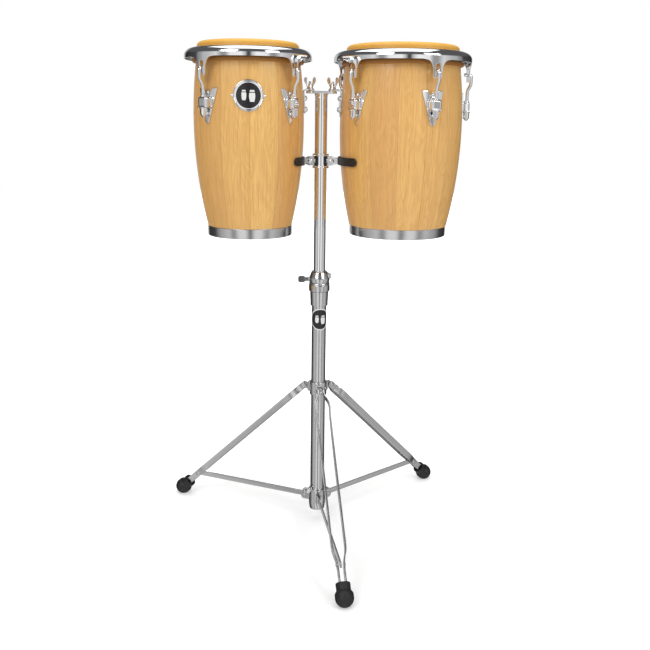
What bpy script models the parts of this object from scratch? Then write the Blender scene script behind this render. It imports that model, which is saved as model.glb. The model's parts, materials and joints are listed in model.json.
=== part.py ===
"""A pair of small congas on a folding tripod stand.

Two staved wooden drums hang by side brackets from one chromed post.  The post
slides and turns in a height clamp on the base tube, and the base tube stands on
three legs of twin flat bars, each with a strut down to a sliding hub.

+Z is up, the drums stand in a line along X with the bigger drum at +X, and the
player's side with the badge is -Y.  Everything is laid out around the post's
axis and then moved, as one, so that the origin is under the middle of the
footprint.  Sizes are metres.
"""
import bmesh
import bpy
import numpy as np
from math import asin, atan2, cos, hypot, pi, radians, sin, sqrt
from mathutils import Matrix, Vector

# ---------------------------------------------------------------- driving sizes
GAP = 0.0003                  # between two pieces that touch
OVERLAP = 0.0010              # how far a piece runs into the one that it is made one with
PAST = 0.0100                 # how far a cutter runs past what it cuts
CHAMFER = 0.0010              # small edge breaks of turned steel
FLOOR = 0.0
HEAD_TOP = 1.047              # playing height of both drums
DRUM_HEIGHT = 0.382           # from the head down to the bottom band
WALL = 0.010                  # stave thickness

# what differs between the two drums: the head sets rim, hoop and hooks, the
# belly and its height set the shell and everything that is bolted to it
LEFT = dict(name="left", x=-0.1477, head=0.1020, belly=0.1124, belly_z=HEAD_TOP - 0.1534,
            foot=0.0861, lugs=4, side=1)
RIGHT = dict(name="right", x=0.1662, head=0.1147, belly=0.1265, belly_z=HEAD_TOP - 0.1620,
             foot=0.1004, lugs=5, side=-1)

# shell
SHELL_STEPS = 32
STAVE_ROWS = 7
BAND_HEIGHT = 0.0200
BAND_THICK = 0.0015
BAND_LIP = 0.0040             # how far the band turns in under the shell
BEARING_ROUND = 0.0070        # round of the edge that the skin runs over

# head and its flesh hoop
SKIN = 0.0015
SKIRT = 0.0400                # from the flat down to the bottom of the hoop
HOOP_HEIGHT = 0.0080
HOOP_OUT = 0.0048             # how far the hoop stands out from the skin

# rim
ROD = 0.0033                  # radius of a hook's rod
RIM_SHEET = 0.0025
RIM_FREE = 0.0030             # open space between skin and rim
RIM_TOP_DROP = 0.0125         # below the head, top of the rim's curve
RIM_REACH = 0.0257            # from the head's radius out to the rim's edge
RIM_LIP_DROP = 0.0330
RIM_BEND = 0.0030             # radius of the bend from the wall to the crest
RIM_LIP_WALL = 0.0060         # upright part of the rim's edge
EAR_TOP_WIDTH = 0.050
EAR_WIDTH = 0.020
EAR_DROP = 0.0680             # below the head, where an ear ends
EAR_ROOT = 0.0040             # how far an ear's outline reaches up into the rim
EAR_KNEE = 0.0010             # below the lip, where an ear begins to narrow
EAR_CURVE = 0.0200            # height over which it narrows
EAR_TAPER = 0.0010            # how much narrower each side is at the very end
EAR_WINDOW = 2 * ROD + 0.0034
EAR_WINDOW_TOP = 0.0405
EAR_WINDOW_BOTTOM = 0.0570
EAR_NOTCH = 0.0080
EAR_NOTCH_DEPTH = 0.0045

# tuning hooks, lugs and nuts
HOOK_BULGE = 0.0062           # how far a hook's bend stands outside the ear
HOOK_REACH = 0.0090           # how far its end reaches in through the window
HOOK_BEND = 1.6               # radius of its bend, in rod radii
HOOK_PAST_EAR = 0.0020        # below the ear, where it starts back in
HOOK_EASE = 0.0180            # height over which it comes in to the straight rod
ROD_OFF = ROD + 0.0087        # from the belly out to the rod's axis
ROD_BOTTOM = 0.1415           # below the head, where the rod ends
LUG_TOP = 0.0900              # heights of the lug, all below the head
LUG_NOTCH = 0.1010
BOX_TOP = 0.1060
BOX_BOTTOM = 0.1270
LUG_TIP = 0.1560
LUG_WIDTH = 0.0470
LUG_TIP_WIDTH = 0.0110
LUG_TIP_CUT = 0.0040          # height of the tip's cut corners
LUG_HORN = 0.0110             # width of a horn's flat top
LUG_CORNER = 0.0020
LUG_NOTCH_HALF = 0.0040
LUG_PLATE = 0.0025
NUT_RADIUS = ROD + 0.0027
BOX_WIDTH = 2 * NUT_RADIUS + 0.0110
BOX_OFF = NUT_RADIUS + 0.0110 # from the belly out to the box's face
BOX_ROUND = 0.0050
NUT_LENGTH = 0.0180
NUT_FLANGE = NUT_RADIUS + 0.0020
NUT_FLANGE_THICK = 0.0016
NUT_CROWN = 0.0040            # height of the nut's tapered end
NUT_END_ROOM = 0.0012         # empty bore below the rod's end
NUT_STEPS = 12

# side brackets and the top of the post
TOP_PLATE_Z = HEAD_TOP - 0.0900
TOP_PLATE_THICK = 0.0050
TOP_PLATE_HALF = 0.0315
TOP_PLATE_WIDTH = 0.0340
TOP_PLATE_ROUND = 0.75        # corner radius, as a share of half the width
STUD_X = 0.0234
STUD_RADIUS = 0.0030
STUD_LENGTH = 0.0190
TONGUE_THICK = 0.0030
TONGUE_WIDTH = 0.0240
TONGUE_PAST_STUD = 0.0090
BRACKET_DROP = 0.0480         # how far a bracket's plate reaches down the shell
BRACKET_WIDTH = 0.0280
BRACKET_RISE = 0.0025         # the bracket's plate above its tongue
BRACKET_CORNER = 0.0100       # height of the cut corners at its foot
TONGUE_CORNER = 0.0060        # length of the cut corners at its end
WING_HUB = STUD_RADIUS + 0.0025
WING_HUB_HEIGHT = 0.0100
WING_SPAN = 0.0260
WING_RISE = 0.0240            # from the wing nut's seat to its wing tips
WING_THICK = 0.0024
WING_SEAT = 0.0030            # height of the hub's flared seat
WING_ROOT = 0.0070            # height where a wing leaves the hub

# post, base tube and clamps
POST = 0.0127                 # 25.4 mm tube
POST_WALL = 0.0015
BASE_WALL = 0.0015
BASE = POST + 0.001675 + BASE_WALL  # 31.75 mm tube, loose round the post
BASE_BOTTOM = 0.0320
BASE_TOP = 0.5530
HEIGHT_TRAVEL = 0.2500        # how far the post lifts out of the base tube
POST_KEPT = 0.0880            # length of post still in the base tube then
TUBE_STEPS = 20
CLAMP_BOTTOM = BASE_TOP - 0.0440
CLAMP_STEP = BASE_TOP - 0.0140
CLAMP_TOP = BASE_TOP + 0.0065
CLAMP_SKIRT = BASE + 0.002825
CLAMP_NECK = BASE + 0.004125
CLAMP_BODY = BASE + 0.006875
CLAMP_SLOT = 0.0060
CLAMP_EDGE = 0.0015
LOCK_HEIGHT = 0.0250
LOCK_RADIUS = POST + 0.0088
LOCK_TOP_RADIUS = POST + 0.0028
LOCK_EAR = POST + 0.0128
LOCK_BOLT_Z = 0.0070          # the wing bolt's axis above the lock's seat
LOCK_BELT = 0.0010            # how far its widest line stands out from its seat
LOCK_EAR_DEPTH = 0.0120
LOCK_EAR_HEIGHT = 0.0130
BOSS = 0.0055                 # radius of the bosses that the winged screws run through
LOCK_BOSS_OUT = 0.0030        # from the lock's seat out to the boss's face
T_HANDLE_LENGTH = 0.0210
T_HANDLE_HEIGHT = 0.0140
T_HANDLE_THICK = 0.0050
HUB_HANDLE_LENGTH = 0.0150
HUB_HANDLE_HEIGHT = 0.0190
HUB_HANDLE_THICK = 0.0030
SCREW_NECK = 0.0040           # length of a winged screw's narrow neck
SCREW_CORNER = 0.0020

# stabilizer between the drums
YOKE_Z = HEAD_TOP - 0.2297
YOKE_HEIGHT = 0.0290
YOKE_RADIUS = POST + 0.0043
YOKE_WAIST = POST + 0.0023
YOKE_FLANGE = 0.0022          # thickness of the spool's end flanges
YOKE_SPLIT = 0.0012
YOKE_ARM_HEIGHT = 0.0140
YOKE_ARM_THICK = 0.0030
PAD_HEIGHT = 0.0170
PAD_THICK = 0.0048
PAD_HALF_ANGLE = 37.0
PAD_ROUND = 0.0012

# folding legs
LEG_AZIMUTHS = (("front", 3.4), ("right", 123.4), ("left", 243.4))  # from -Y to +X
COLLAR_Z = 0.3050
COLLAR_HEIGHT = 0.0310
COLLAR_RADIUS = BASE + 0.003375
LEG_PIN_R = BASE + 0.018125
LEG_PIN_Z = COLLAR_Z + 0.0166
FOOT_R = 0.3550
FOOT_BALL_Z = 0.0165
BAR_WIDTH = 0.0150
BAR_THICK = 0.0030
BAR_TOP_HALF = 0.0058         # half spacing of the two bars at the pin
BAR_BOW_HALF = 0.0165
BAR_MID_HALF = 0.0132
BAR_LOW_HALF = 0.0062
BOW_AT = 0.0360               # along the leg, where the bars stand furthest apart
BAR_CRANK = 0.0060            # step of the crank that brings them back together
PIN_RADIUS = 0.0030
LEG_LUG_THICK = 0.0070
TENON = 0.0240                # length of the joined end that sits in the foot
BLOCK_IN = 0.0040             # from the foot's rim in to where the bars are joined
BALL_RADIUS = 0.0185
FOOT_NECK = 0.0145
FOOT_NECK_TOP = 0.0280        # above the ball's centre, along the leg
FOOT_WALL = 0.0040
STRUT_TO_BALL = 0.062862      # along the leg from the strut's joint to the ball's centre
FOOT_STEPS = 16

# sliding hub and struts
HUB_BOTTOM = 0.0276
HUB_TOP = 0.0765
HUB_RADIUS = BASE + 0.002975
HUB_PIN_R = BASE + 0.015125
HUB_PIN_Z = 0.0565
HUB_PIN_RADIUS = 0.0022
HUB_LUG_HEIGHT = 0.0220
HUB_LUG_PAST = 0.0005         # how far a lug reaches past the strut's round end
HUB_LUG_ROUND = 0.0105
HUB_NOSE = 0.0120             # height of the sleeve's tapered lower end
HUB_BOSS_OUT = 0.0040         # from the sleeve out to the screw boss's face
STRUT_WIDTH = 0.0120
STRUT_THICK = 0.0030
HUB_LUG_WIDTH = STRUT_THICK + 0.0090
HUB_SCREW_AZIMUTH = -56.6
HUB_SCREW_Z = 0.0770

# ---------------------------------------------------------------- worked out
DRUM_BOTTOM = HEAD_TOP - DRUM_HEIGHT
POST_BOTTOM = BASE_TOP - HEIGHT_TRAVEL - POST_KEPT
LEG_LENGTH = hypot(FOOT_R - LEG_PIN_R, LEG_PIN_Z - FOOT_BALL_Z)
LEG_ANGLE = asin((FOOT_R - LEG_PIN_R) / LEG_LENGTH)
STRUT_ALONG = LEG_LENGTH - STRUT_TO_BALL
JOINT_R = LEG_PIN_R + STRUT_ALONG * sin(LEG_ANGLE)
JOINT_Z = LEG_PIN_Z - STRUT_ALONG * cos(LEG_ANGLE)
STRUT_LENGTH = hypot(JOINT_R - HUB_PIN_R, JOINT_Z - HUB_PIN_Z)
STRUT_ANGLE = atan2(JOINT_R - HUB_PIN_R, HUB_PIN_Z - JOINT_Z)

LOOKS = {
    "wood": ((0.72, 0.44, 0.17), 0.38, 0.0),
    "skin": ((0.66, 0.38, 0.11), 0.50, 0.0),
    "chrome": ((0.80, 0.80, 0.80), 0.12, 1.0),
    "steel": ((0.58, 0.58, 0.57), 0.30, 1.0),
    "rubber": ((0.02, 0.02, 0.02), 0.70, 0.0),
}


# ---------------------------------------------------------------- helpers
def clear_scene():
    """Remove every object that the file starts with."""
    for thing in list(bpy.data.objects):
        bpy.data.objects.remove(thing)


def collections():
    """One collection for the model and one for the cutters."""
    model = bpy.data.collections.new("conga pair")
    guides = bpy.data.collections.new("cutters")
    for group in (model, guides):
        bpy.context.scene.collection.children.link(group)
    return model, guides


clear_scene()
MODEL, CUTTERS = collections()
ROOT = bpy.data.objects.new("footprint_centre", None)
MODEL.objects.link(ROOT)


def shaded(mesh, angle=35.0):
    """Smooth faces with sharp edges kept."""
    mesh.shade_smooth()
    mesh.set_sharp_from_angle(angle=radians(angle))


def finish(thing, look, place=(0, 0, 0), turn=(0, 0, 0)):
    """Put a piece in the model with its own material, under the root empty."""
    colour, roughness, metallic = LOOKS[look]
    material = bpy.data.materials.new(thing.name + "_" + look)
    material.use_nodes = True
    surface = material.node_tree.nodes["Principled BSDF"]
    surface.inputs["Base Color"].default_value = (*colour, 1.0)
    surface.inputs["Roughness"].default_value = roughness
    surface.inputs["Metallic"].default_value = metallic
    if not thing.data.materials:
        thing.data.materials.append(material)
    thing.location = place
    thing.rotation_euler = turn
    thing.parent = ROOT
    MODEL.objects.link(thing)
    return thing


def guide(thing, place=(0, 0, 0), turn=(0, 0, 0)):
    """A cutter, out of the render, under the same root empty."""
    thing.location = place
    thing.rotation_euler = turn
    thing.parent = ROOT
    thing.hide_render = True
    thing.display_type = "WIRE"
    CUTTERS.objects.link(thing)
    return thing


def boolean(thing, tool, operation):
    """Add an exact Boolean of the tool to the piece."""
    step = thing.modifiers.new(operation.lower(), "BOOLEAN")
    step.operation = operation
    step.object = tool
    step.solver = "EXACT"


def settled(thing):
    """The piece's evaluated mesh, with its scratch object and cutters removed."""
    bpy.context.view_layer.update()
    graph = bpy.context.evaluated_depsgraph_get()
    mesh = bpy.data.meshes.new_from_object(thing.evaluated_get(graph))
    tools = [m.object for m in thing.modifiers if m.type == "BOOLEAN"]
    for spare in [thing, *tools]:
        bpy.data.objects.remove(spare)
    shaded(mesh)
    return mesh


def turned(name, outline, steps, closed=False):
    """A turned piece: points (radius, height), down the outer side first."""
    mesh = bpy.data.meshes.new(name)
    points = [(r, 0.0, z) for r, z in outline]
    edges = [(i, i + 1) for i in range(len(points) - 1)]
    if closed:
        edges.append((len(points) - 1, 0))
    mesh.from_pydata(points, edges, [])
    thing = bpy.data.objects.new(name, mesh)
    screw = thing.modifiers.new("turn", "SCREW")
    screw.axis = "Z"
    screw.steps = steps
    screw.render_steps = steps
    screw.use_merge_vertices = True
    screw.merge_threshold = 0.00001
    screw.use_smooth_shade = False
    return thing


def prism(name, outline, low, high):
    """A flat outline of (x, y) points, anticlockwise, from height low to high."""
    mesh = bpy.data.meshes.new(name)
    work = bmesh.new()
    ring = [work.verts.new((x, y, low)) for x, y in outline]
    face = work.faces.new(ring)
    face.normal_update()
    moved = bmesh.ops.extrude_face_region(work, geom=[face])
    top = [v for v in moved["geom"] if isinstance(v, bmesh.types.BMVert)]
    bmesh.ops.translate(work, verts=top, vec=(0, 0, high - low))
    bmesh.ops.recalc_face_normals(work, faces=work.faces)
    work.to_mesh(mesh)
    work.free()
    return bpy.data.objects.new(name, mesh)


def block(name, size, centre=(0, 0, 0)):
    """A box of the given size around the given centre."""
    mesh = bpy.data.meshes.new(name)
    work = bmesh.new()
    bmesh.ops.create_cube(work, size=1.0)
    bmesh.ops.scale(work, verts=work.verts, vec=size)
    bmesh.ops.translate(work, verts=work.verts, vec=centre)
    work.to_mesh(mesh)
    work.free()
    return bpy.data.objects.new(name, mesh)


def rod(name, radius, start, end, steps=16):
    """A round bar between two points."""
    mesh = bpy.data.meshes.new(name)
    work = bmesh.new()
    start, end = Vector(start), Vector(end)
    along = end - start
    bmesh.ops.create_cone(work, cap_ends=True, segments=steps, radius1=radius,
                          radius2=radius, depth=along.length)
    turn = Vector((0, 0, 1)).rotation_difference(along).to_matrix().to_4x4()
    move = Matrix.Translation((start + end) / 2) @ turn
    bmesh.ops.transform(work, matrix=move, verts=work.verts)
    work.to_mesh(mesh)
    work.free()
    return bpy.data.objects.new(name, mesh)


def arc(centre, radius, start, end, count):
    """Points on an arc, angles in degrees."""
    angles = np.radians(np.linspace(start, end, count))
    return [(centre[0] + radius * cos(a), centre[1] + radius * sin(a)) for a in angles]


def joined(name, pieces):
    """Several closed bodies in one mesh, for a cutter."""
    work = bmesh.new()
    for thing in pieces:
        start = len(work.verts)
        work.from_mesh(thing.data)
        work.verts.ensure_lookup_table()
        fresh = work.verts[start:]
        bmesh.ops.transform(work, matrix=thing.matrix_basis, verts=fresh)
        bpy.data.objects.remove(thing)
    mesh = bpy.data.meshes.new(name)
    work.to_mesh(mesh)
    work.free()
    return bpy.data.objects.new(name, mesh)


def heading(azimuth):
    """Turn about Z that points local +X to an azimuth counted from -Y to +X."""
    return radians(azimuth - 90.0)


# ---------------------------------------------------------------- drums
def neck(drum):
    """Radius and height of the shell where its bearing edge begins, under the skin."""
    return drum["head"] - SKIN - GAP, HEAD_TOP - SKIN - GAP - BEARING_ROUND


def stave_radius(drum, z):
    """Outer radius of the bent stave: one circular arc, widest at the belly.

    The arc is the one that runs from the belly up to the neck.
    """
    radius, height = neck(drum)
    rise, drop = height - drum["belly_z"], drum["belly"] - radius
    curve = (rise * rise + drop * drop) / (2 * drop)
    off = z - drum["belly_z"]
    return drum["belly"] - (curve - sqrt(curve * curve - off * off))


def lug_angles(drum):
    """Directions of the lugs from the drum's axis, none of them on the bracket."""
    towards_post = 0.0 if drum["side"] > 0 else 180.0
    step = 360.0 / drum["lugs"]
    return [towards_post + step * (i + 0.5) for i in range(drum["lugs"])]


def shell(drum):
    """Bent staves around an open hollow, with a rounded bearing edge on top."""
    low = DRUM_BOTTOM + BAND_THICK + GAP
    step = DRUM_BOTTOM + BAND_HEIGHT + GAP
    width, height = neck(drum)
    outer = arc((width - BEARING_ROUND, height), BEARING_ROUND, 90, 0, 3)
    for z in np.linspace(height, step, STAVE_ROWS)[1:]:
        outer.append((stave_radius(drum, z), z))
    outer.append((drum["foot"], step))
    outer.append((drum["foot"], low))
    inner = [(drum["foot"] - WALL, low)]
    for z in np.linspace(step, height, STAVE_ROWS - 2):
        inner.append((stave_radius(drum, z) - WALL, z))
    thing = turned(drum["name"] + "_shell", outer + inner, SHELL_STEPS, closed=True)
    return finish(thing, "wood", (drum["x"], 0, 0))


def bottom_band(drum):
    """Steel ring round the foot of the shell, turned in under its edge."""
    inside = drum["foot"] + GAP
    outside = inside + BAND_THICK
    low = DRUM_BOTTOM
    high = low + BAND_HEIGHT
    outline = [(outside, high), (outside, low + CHAMFER), (outside - CHAMFER, low),
               (inside - BAND_LIP, low), (inside - BAND_LIP, low + BAND_THICK),
               (inside, low + BAND_THICK), (inside, high)]
    thing = turned(drum["name"] + "_bottom_band", outline, SHELL_STEPS, closed=True)
    return finish(thing, "steel", (drum["x"], 0, 0))


def head(drum):
    """Skin with its shoulder and skirt, and the hoop wrapped in the skirt's edge."""
    width, height = neck(drum)
    low = HEAD_TOP - SKIRT
    high = low + HOOP_HEIGHT
    half_way = (height + high) / 2
    middle = (width - BEARING_ROUND, height)
    inside = {z: stave_radius(drum, z) + GAP for z in (half_way, high, low)}
    edge = inside[low] + SKIN + HOOP_OUT
    outer = [(0.0, HEAD_TOP)]
    outer += arc(middle, BEARING_ROUND + GAP + SKIN, 90, 0, 4)
    outer += [(inside[half_way] + SKIN, half_way), (inside[high] + SKIN, high),
              (edge, high), (edge, low)]
    inner = [(inside[low], low), (inside[half_way], half_way)]
    inner += arc(middle, BEARING_ROUND + GAP, 0, 90, 3)
    inner += [(0.0, HEAD_TOP - SKIN)]
    thing = turned(drum["name"] + "_head", outer + inner, SHELL_STEPS)
    return finish(thing, "skin", (drum["x"], 0, 0))


def rim_line(drum):
    """Middle line of the rim's sheet, from the hoop up, over and out to its lip."""
    inside = drum["head"] + RIM_FREE + RIM_SHEET / 2
    edge = drum["head"] + RIM_REACH - RIM_SHEET / 2
    seat = HEAD_TOP - SKIRT + HOOP_HEIGHT + GAP
    on_hoop = stave_radius(drum, seat) + GAP + SKIN + HOOP_OUT - RIM_SHEET / 2
    crest = HEAD_TOP - RIM_TOP_DROP - RIM_SHEET / 2
    lip = HEAD_TOP - RIM_LIP_DROP
    bend = RIM_BEND
    line = [(on_hoop, seat)]
    line += arc((inside + bend, crest - bend), bend, 180, 90, 2)
    sweep = edge - inside - bend
    fall = crest - (lip + RIM_LIP_WALL)
    for a in np.radians([35, 65, 90]):
        line.append((inside + bend + sweep * sin(a), crest - fall * (1 - cos(a))))
    line.append((edge, lip))
    return line


def offset(line, by):
    """The line moved sideways by a distance, to its right going along it."""
    moved = []
    for i, (x, z) in enumerate(line):
        before = line[max(i - 1, 0)]
        after = line[min(i + 1, len(line) - 1)]
        dx, dz = after[0] - before[0], after[1] - before[1]
        size = hypot(dx, dz)
        moved.append((x + by * dz / size, z - by * dx / size))
    return moved


def ear_outline():
    """Half-width of an ear against its height below the head: a concave taper."""
    top = HEAD_TOP - RIM_LIP_DROP + EAR_ROOT
    low = HEAD_TOP - EAR_DROP
    sweep = (EAR_TOP_WIDTH - EAR_WIDTH) / 2
    knee = HEAD_TOP - RIM_LIP_DROP - EAR_KNEE
    side = []
    for a in np.radians([0, 30, 60, 90]):
        side.append((EAR_WIDTH / 2 + sweep * (1 - sin(a)), knee - EAR_CURVE * (1 - cos(a))))
    right = [(EAR_TOP_WIDTH / 2, top)] + side + [(EAR_WIDTH / 2 - EAR_TAPER, low)]
    return [(-x, z) for x, z in reversed(right)] + right


def around(thing, angle):
    """Turn an outline drawn in local Y and Z to face an angle round the drum."""
    thing.matrix_basis = (Matrix.Rotation(radians(angle), 4, "Z")
                          @ Matrix.Rotation(radians(90), 4, "Z")
                          @ Matrix.Rotation(radians(90), 4, "X"))
    return thing


def rim(drum):
    """Pressed ring that pulls the hoop down, with an ear over each lug."""
    name = drum["name"] + "_rim"
    line = rim_line(drum)
    half = RIM_SHEET / 2
    outline = list(reversed(offset(line, half))) + offset(line, -half)
    ring = turned(name, list(reversed(outline)), SHELL_STEPS, closed=True)
    edge = line[-1][0]
    skirt_top = HEAD_TOP - RIM_LIP_DROP + EAR_ROOT - OVERLAP
    skirt_low = HEAD_TOP - EAR_DROP
    skirt = turned(name + "_ears", [
        (edge + half * 0.98, skirt_top), (edge + half * 0.98, skirt_low),
        (edge - half * 0.98, skirt_low), (edge - half * 0.98, skirt_top)],
        SHELL_STEPS, closed=True)
    near, far = -(edge + 2 * RIM_SHEET), -(edge - 2 * RIM_SHEET)
    shapes = [around(prism("ear", ear_outline(), near, far), a + 180)
              for a in lug_angles(drum)]
    shapes = guide(joined(name + "_shapes", shapes), (drum["x"], 0, 0))
    boolean(skirt, shapes, "INTERSECT")
    guide(skirt, (drum["x"], 0, 0))
    ring = finish(ring, "chrome", (drum["x"], 0, 0))
    boolean(ring, skirt, "UNION")
    holes = []
    for a in lug_angles(drum):
        r = EAR_WINDOW / 2
        top = HEAD_TOP - EAR_WINDOW_TOP - r
        low = HEAD_TOP - EAR_WINDOW_BOTTOM
        window = [(-r, low), (r, low)] + arc((0, top), r, 0, 180, 5)
        holes.append(around(prism("window", window, near, far), a + 180))
        end = HEAD_TOP - EAR_DROP
        half, shoulder = EAR_NOTCH / 2, end + EAR_NOTCH_DEPTH * 0.22
        notch = [(-half, end - OVERLAP), (half, end - OVERLAP), (half, shoulder),
                 (0.0, end + EAR_NOTCH_DEPTH), (-half, shoulder)]
        holes.append(around(prism("notch", notch, near, far), a + 180))
    boolean(ring, guide(joined(name + "_holes", holes), (drum["x"], 0, 0)), "DIFFERENCE")
    return ring


def rod_radius(drum):
    """Distance of the tuning rods from the drum's axis."""
    return drum["belly"] + ROD_OFF


def hook_mesh(drum):
    """Tuning hook: through the ear's window, out over its edge and down to the nut."""
    ear = drum["head"] + RIM_REACH - RIM_SHEET / 2
    straight = rod_radius(drum)
    out = ear + HOOK_BULGE
    seat = HEAD_TOP - EAR_WINDOW_BOTTOM + ROD + GAP
    bend = ROD * HOOK_BEND
    line = [(ear - HOOK_REACH, seat), (out - bend, seat)]
    line += arc((out - bend, seat - bend), bend, 60, 0, 3)
    start = HEAD_TOP - EAR_DROP - HOOK_PAST_EAR
    line += [(out, start)]
    for t in (0.25, 0.5, 0.75, 1.0):
        ease = t * t * (3 - 2 * t)
        line.append((out + (straight - out) * ease, start - HOOK_EASE * t))
    line.append((straight, HEAD_TOP - ROD_BOTTOM))
    curve = bpy.data.curves.new("hook", "CURVE")
    curve.dimensions = "3D"
    spline = curve.splines.new("POLY")
    spline.points.add(len(line) - 1)
    for point, (r, z) in zip(spline.points, line):
        point.co = (r, 0.0, z, 1.0)
    curve.bevel_depth = ROD
    curve.bevel_resolution = 2
    curve.use_fill_caps = True
    thing = bpy.data.objects.new("hook", curve)
    MODEL.objects.link(thing)
    mesh = settled(thing)
    work = bmesh.new()
    work.from_mesh(mesh)
    bmesh.ops.remove_doubles(work, verts=work.verts, dist=0.00001)
    work.to_mesh(mesh)
    work.free()
    shaded(mesh)
    return mesh


def hugging(drum, name, off):
    """Solid inside the stave surface grown by a distance, for plates that hug it.

    The facets' middles keep the distance, so the solid is grown a little more.
    """
    grow = 1.0 / cos(pi / SHELL_STEPS)
    low = HEAD_TOP - LUG_TIP - PAST
    high = HEAD_TOP - LUG_TOP + PAST
    outline = [(0.0, high)]
    for z in np.linspace(high, low, 4):
        outline.append(((stave_radius(drum, z) + off) * grow, z))
    outline.append((0.0, low))
    return turned(name, outline, SHELL_STEPS)


def lug_outline():
    """V-shaped plate with a notch in its top edge, as half widths and heights."""
    top = HEAD_TOP - LUG_TOP
    tip = HEAD_TOP - LUG_TIP
    notch = HEAD_TOP - LUG_NOTCH
    wide, narrow = LUG_WIDTH / 2, LUG_TIP_WIDTH / 2
    right = [(narrow, tip + LUG_TIP_CUT), (wide, top - LUG_CORNER), (wide - LUG_CORNER, top),
             (wide - LUG_HORN, top), (LUG_NOTCH_HALF, notch)]
    foot = narrow - LUG_TIP_CUT * 0.75
    return [(foot, tip)] + right + [(-x, z) for x, z in reversed(right)] + [(-foot, tip)]


def lug_mesh(drum):
    """Side plate that hugs the staves, with a raised box that the rod runs through."""
    face = rod_radius(drum)
    plate = prism("lug", lug_outline(), -(face + 2 * PAST), -(face - 4 * PAST))
    plate = around(plate, 180)
    plate = joined("lug_plate", [plate])
    MODEL.objects.link(plate)
    outer = hugging(drum, "lug_outer", GAP + LUG_PLATE)
    CUTTERS.objects.link(outer)
    boolean(plate, outer, "INTERSECT")
    high = HEAD_TOP - BOX_TOP
    low = HEAD_TOP - BOX_BOTTOM
    reach = drum["belly"] + BOX_OFF
    start = drum["belly"] - PAST
    wide, round_off = BOX_WIDTH / 2, BOX_ROUND
    section = [(start, -wide), (reach - round_off, -wide)]
    section += arc((reach - round_off, -wide + round_off), round_off, -45, 0, 2)
    section += arc((reach - round_off, wide - round_off), round_off, 0, 45, 2)
    section += [(reach - round_off, wide), (start, wide)]
    body = prism("lug_box", section, low, high)
    CUTTERS.objects.link(body)
    boolean(plate, body, "UNION")
    inner = hugging(drum, "lug_inner", GAP)
    CUTTERS.objects.link(inner)
    boolean(plate, inner, "DIFFERENCE")
    line = rod_radius(drum)
    bore = rod("lug_bore", ROD + GAP, (line, 0, low - PAST), (line, 0, high + PAST), 12)
    CUTTERS.objects.link(bore)
    boolean(plate, bore, "DIFFERENCE")
    return settled(plate)


def nut_mesh():
    """Long crown nut with a washer flange on top and a blind bore for the rod."""
    bore = ROD + GAP
    depth = ROD_BOTTOM - BOX_BOTTOM + NUT_END_ROOM
    thing = turned("nut", [
        (0.0, -depth), (bore, -depth), (bore, 0.0), (NUT_FLANGE, 0.0),
        (NUT_FLANGE, -NUT_FLANGE_THICK), (NUT_RADIUS, -NUT_FLANGE_THICK),
        (NUT_RADIUS, -NUT_LENGTH + NUT_CROWN), (NUT_RADIUS * 0.55, -NUT_LENGTH),
        (0.0, -NUT_LENGTH)], NUT_STEPS)
    MODEL.objects.link(thing)
    return settled(thing)


def tuning(drum):
    """Hooks, lugs and nuts, each in its place round the drum."""
    hook, lug, nut = hook_mesh(drum), lug_mesh(drum), nut_mesh()
    for number, angle in enumerate(lug_angles(drum), 1):
        tag = "%s_%%s_%d" % (drum["name"], number)
        turn = (0, 0, radians(angle))
        centre = (drum["x"], 0, 0)
        finish(bpy.data.objects.new(tag % "hook", hook.copy()), "chrome", centre, turn)
        finish(bpy.data.objects.new(tag % "lug", lug.copy()), "chrome", centre, turn)
        line = rod_radius(drum)
        place = (drum["x"] + line * cos(radians(angle)), line * sin(radians(angle)),
                 HEAD_TOP - BOX_BOTTOM - GAP)
        finish(bpy.data.objects.new(tag % "nut", nut.copy()), "chrome", place, turn)


def bracket(drum):
    """Side bracket: a plate bolted to the staves with a tongue over the post's plate."""
    name = drum["name"] + "_bracket"
    seat = TOP_PLATE_Z + GAP
    top = seat + TONGUE_THICK
    near = -drum["x"] * drum["side"]          # distance from the drum's axis to the post
    end = near - (STUD_X - TONGUE_PAST_STUD)
    high, low = top + BRACKET_RISE, top - BRACKET_DROP
    half = BRACKET_WIDTH / 2
    wing = [(half, high), (-half, high), (-half, low + BRACKET_CORNER),
            (-half * 0.5, low), (half * 0.5, low), (half, low + BRACKET_CORNER)]
    plate = prism(name, wing, -(near + PAST), -(drum["belly"] - 2 * PAST))
    plate = joined(name, [around(plate, 180)])
    boolean(plate, guide(hugging(drum, name + "_outer", GAP + LUG_PLATE)), "INTERSECT")
    start = drum["belly"] - PAST
    wide = TONGUE_WIDTH / 2
    inner = wide - TONGUE_CORNER * 1.33
    tongue = [(start, -wide), (end - TONGUE_CORNER, -wide), (end, -inner),
              (end, inner), (end - TONGUE_CORNER, wide), (start, wide)]
    boolean(plate, guide(prism(name + "_tongue", tongue, seat, top)), "UNION")
    boolean(plate, guide(hugging(drum, name + "_inner", GAP)), "DIFFERENCE")
    stud = near - STUD_X
    hole = rod(name + "_hole", STUD_RADIUS + GAP, (stud, 0, seat - PAST), (stud, 0, top + PAST))
    boolean(plate, guide(hole), "DIFFERENCE")
    for tool in [m.object for m in plate.modifiers]:
        tool.location = (drum["x"], 0, 0)
        tool.rotation_euler = (0, 0, 0 if drum["side"] > 0 else pi)
    return finish(plate, "chrome", (drum["x"], 0, 0),
                  (0, 0, 0 if drum["side"] > 0 else pi))


# ---------------------------------------------------------------- post and clamps
def tube(name, radius, wall, low, high):
    """A plain tube about the post's axis, open at both ends."""
    thing = turned(name, [(radius, high), (radius, low), (radius - wall, low),
                          (radius - wall, high)], TUBE_STEPS, closed=True)
    return thing


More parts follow.
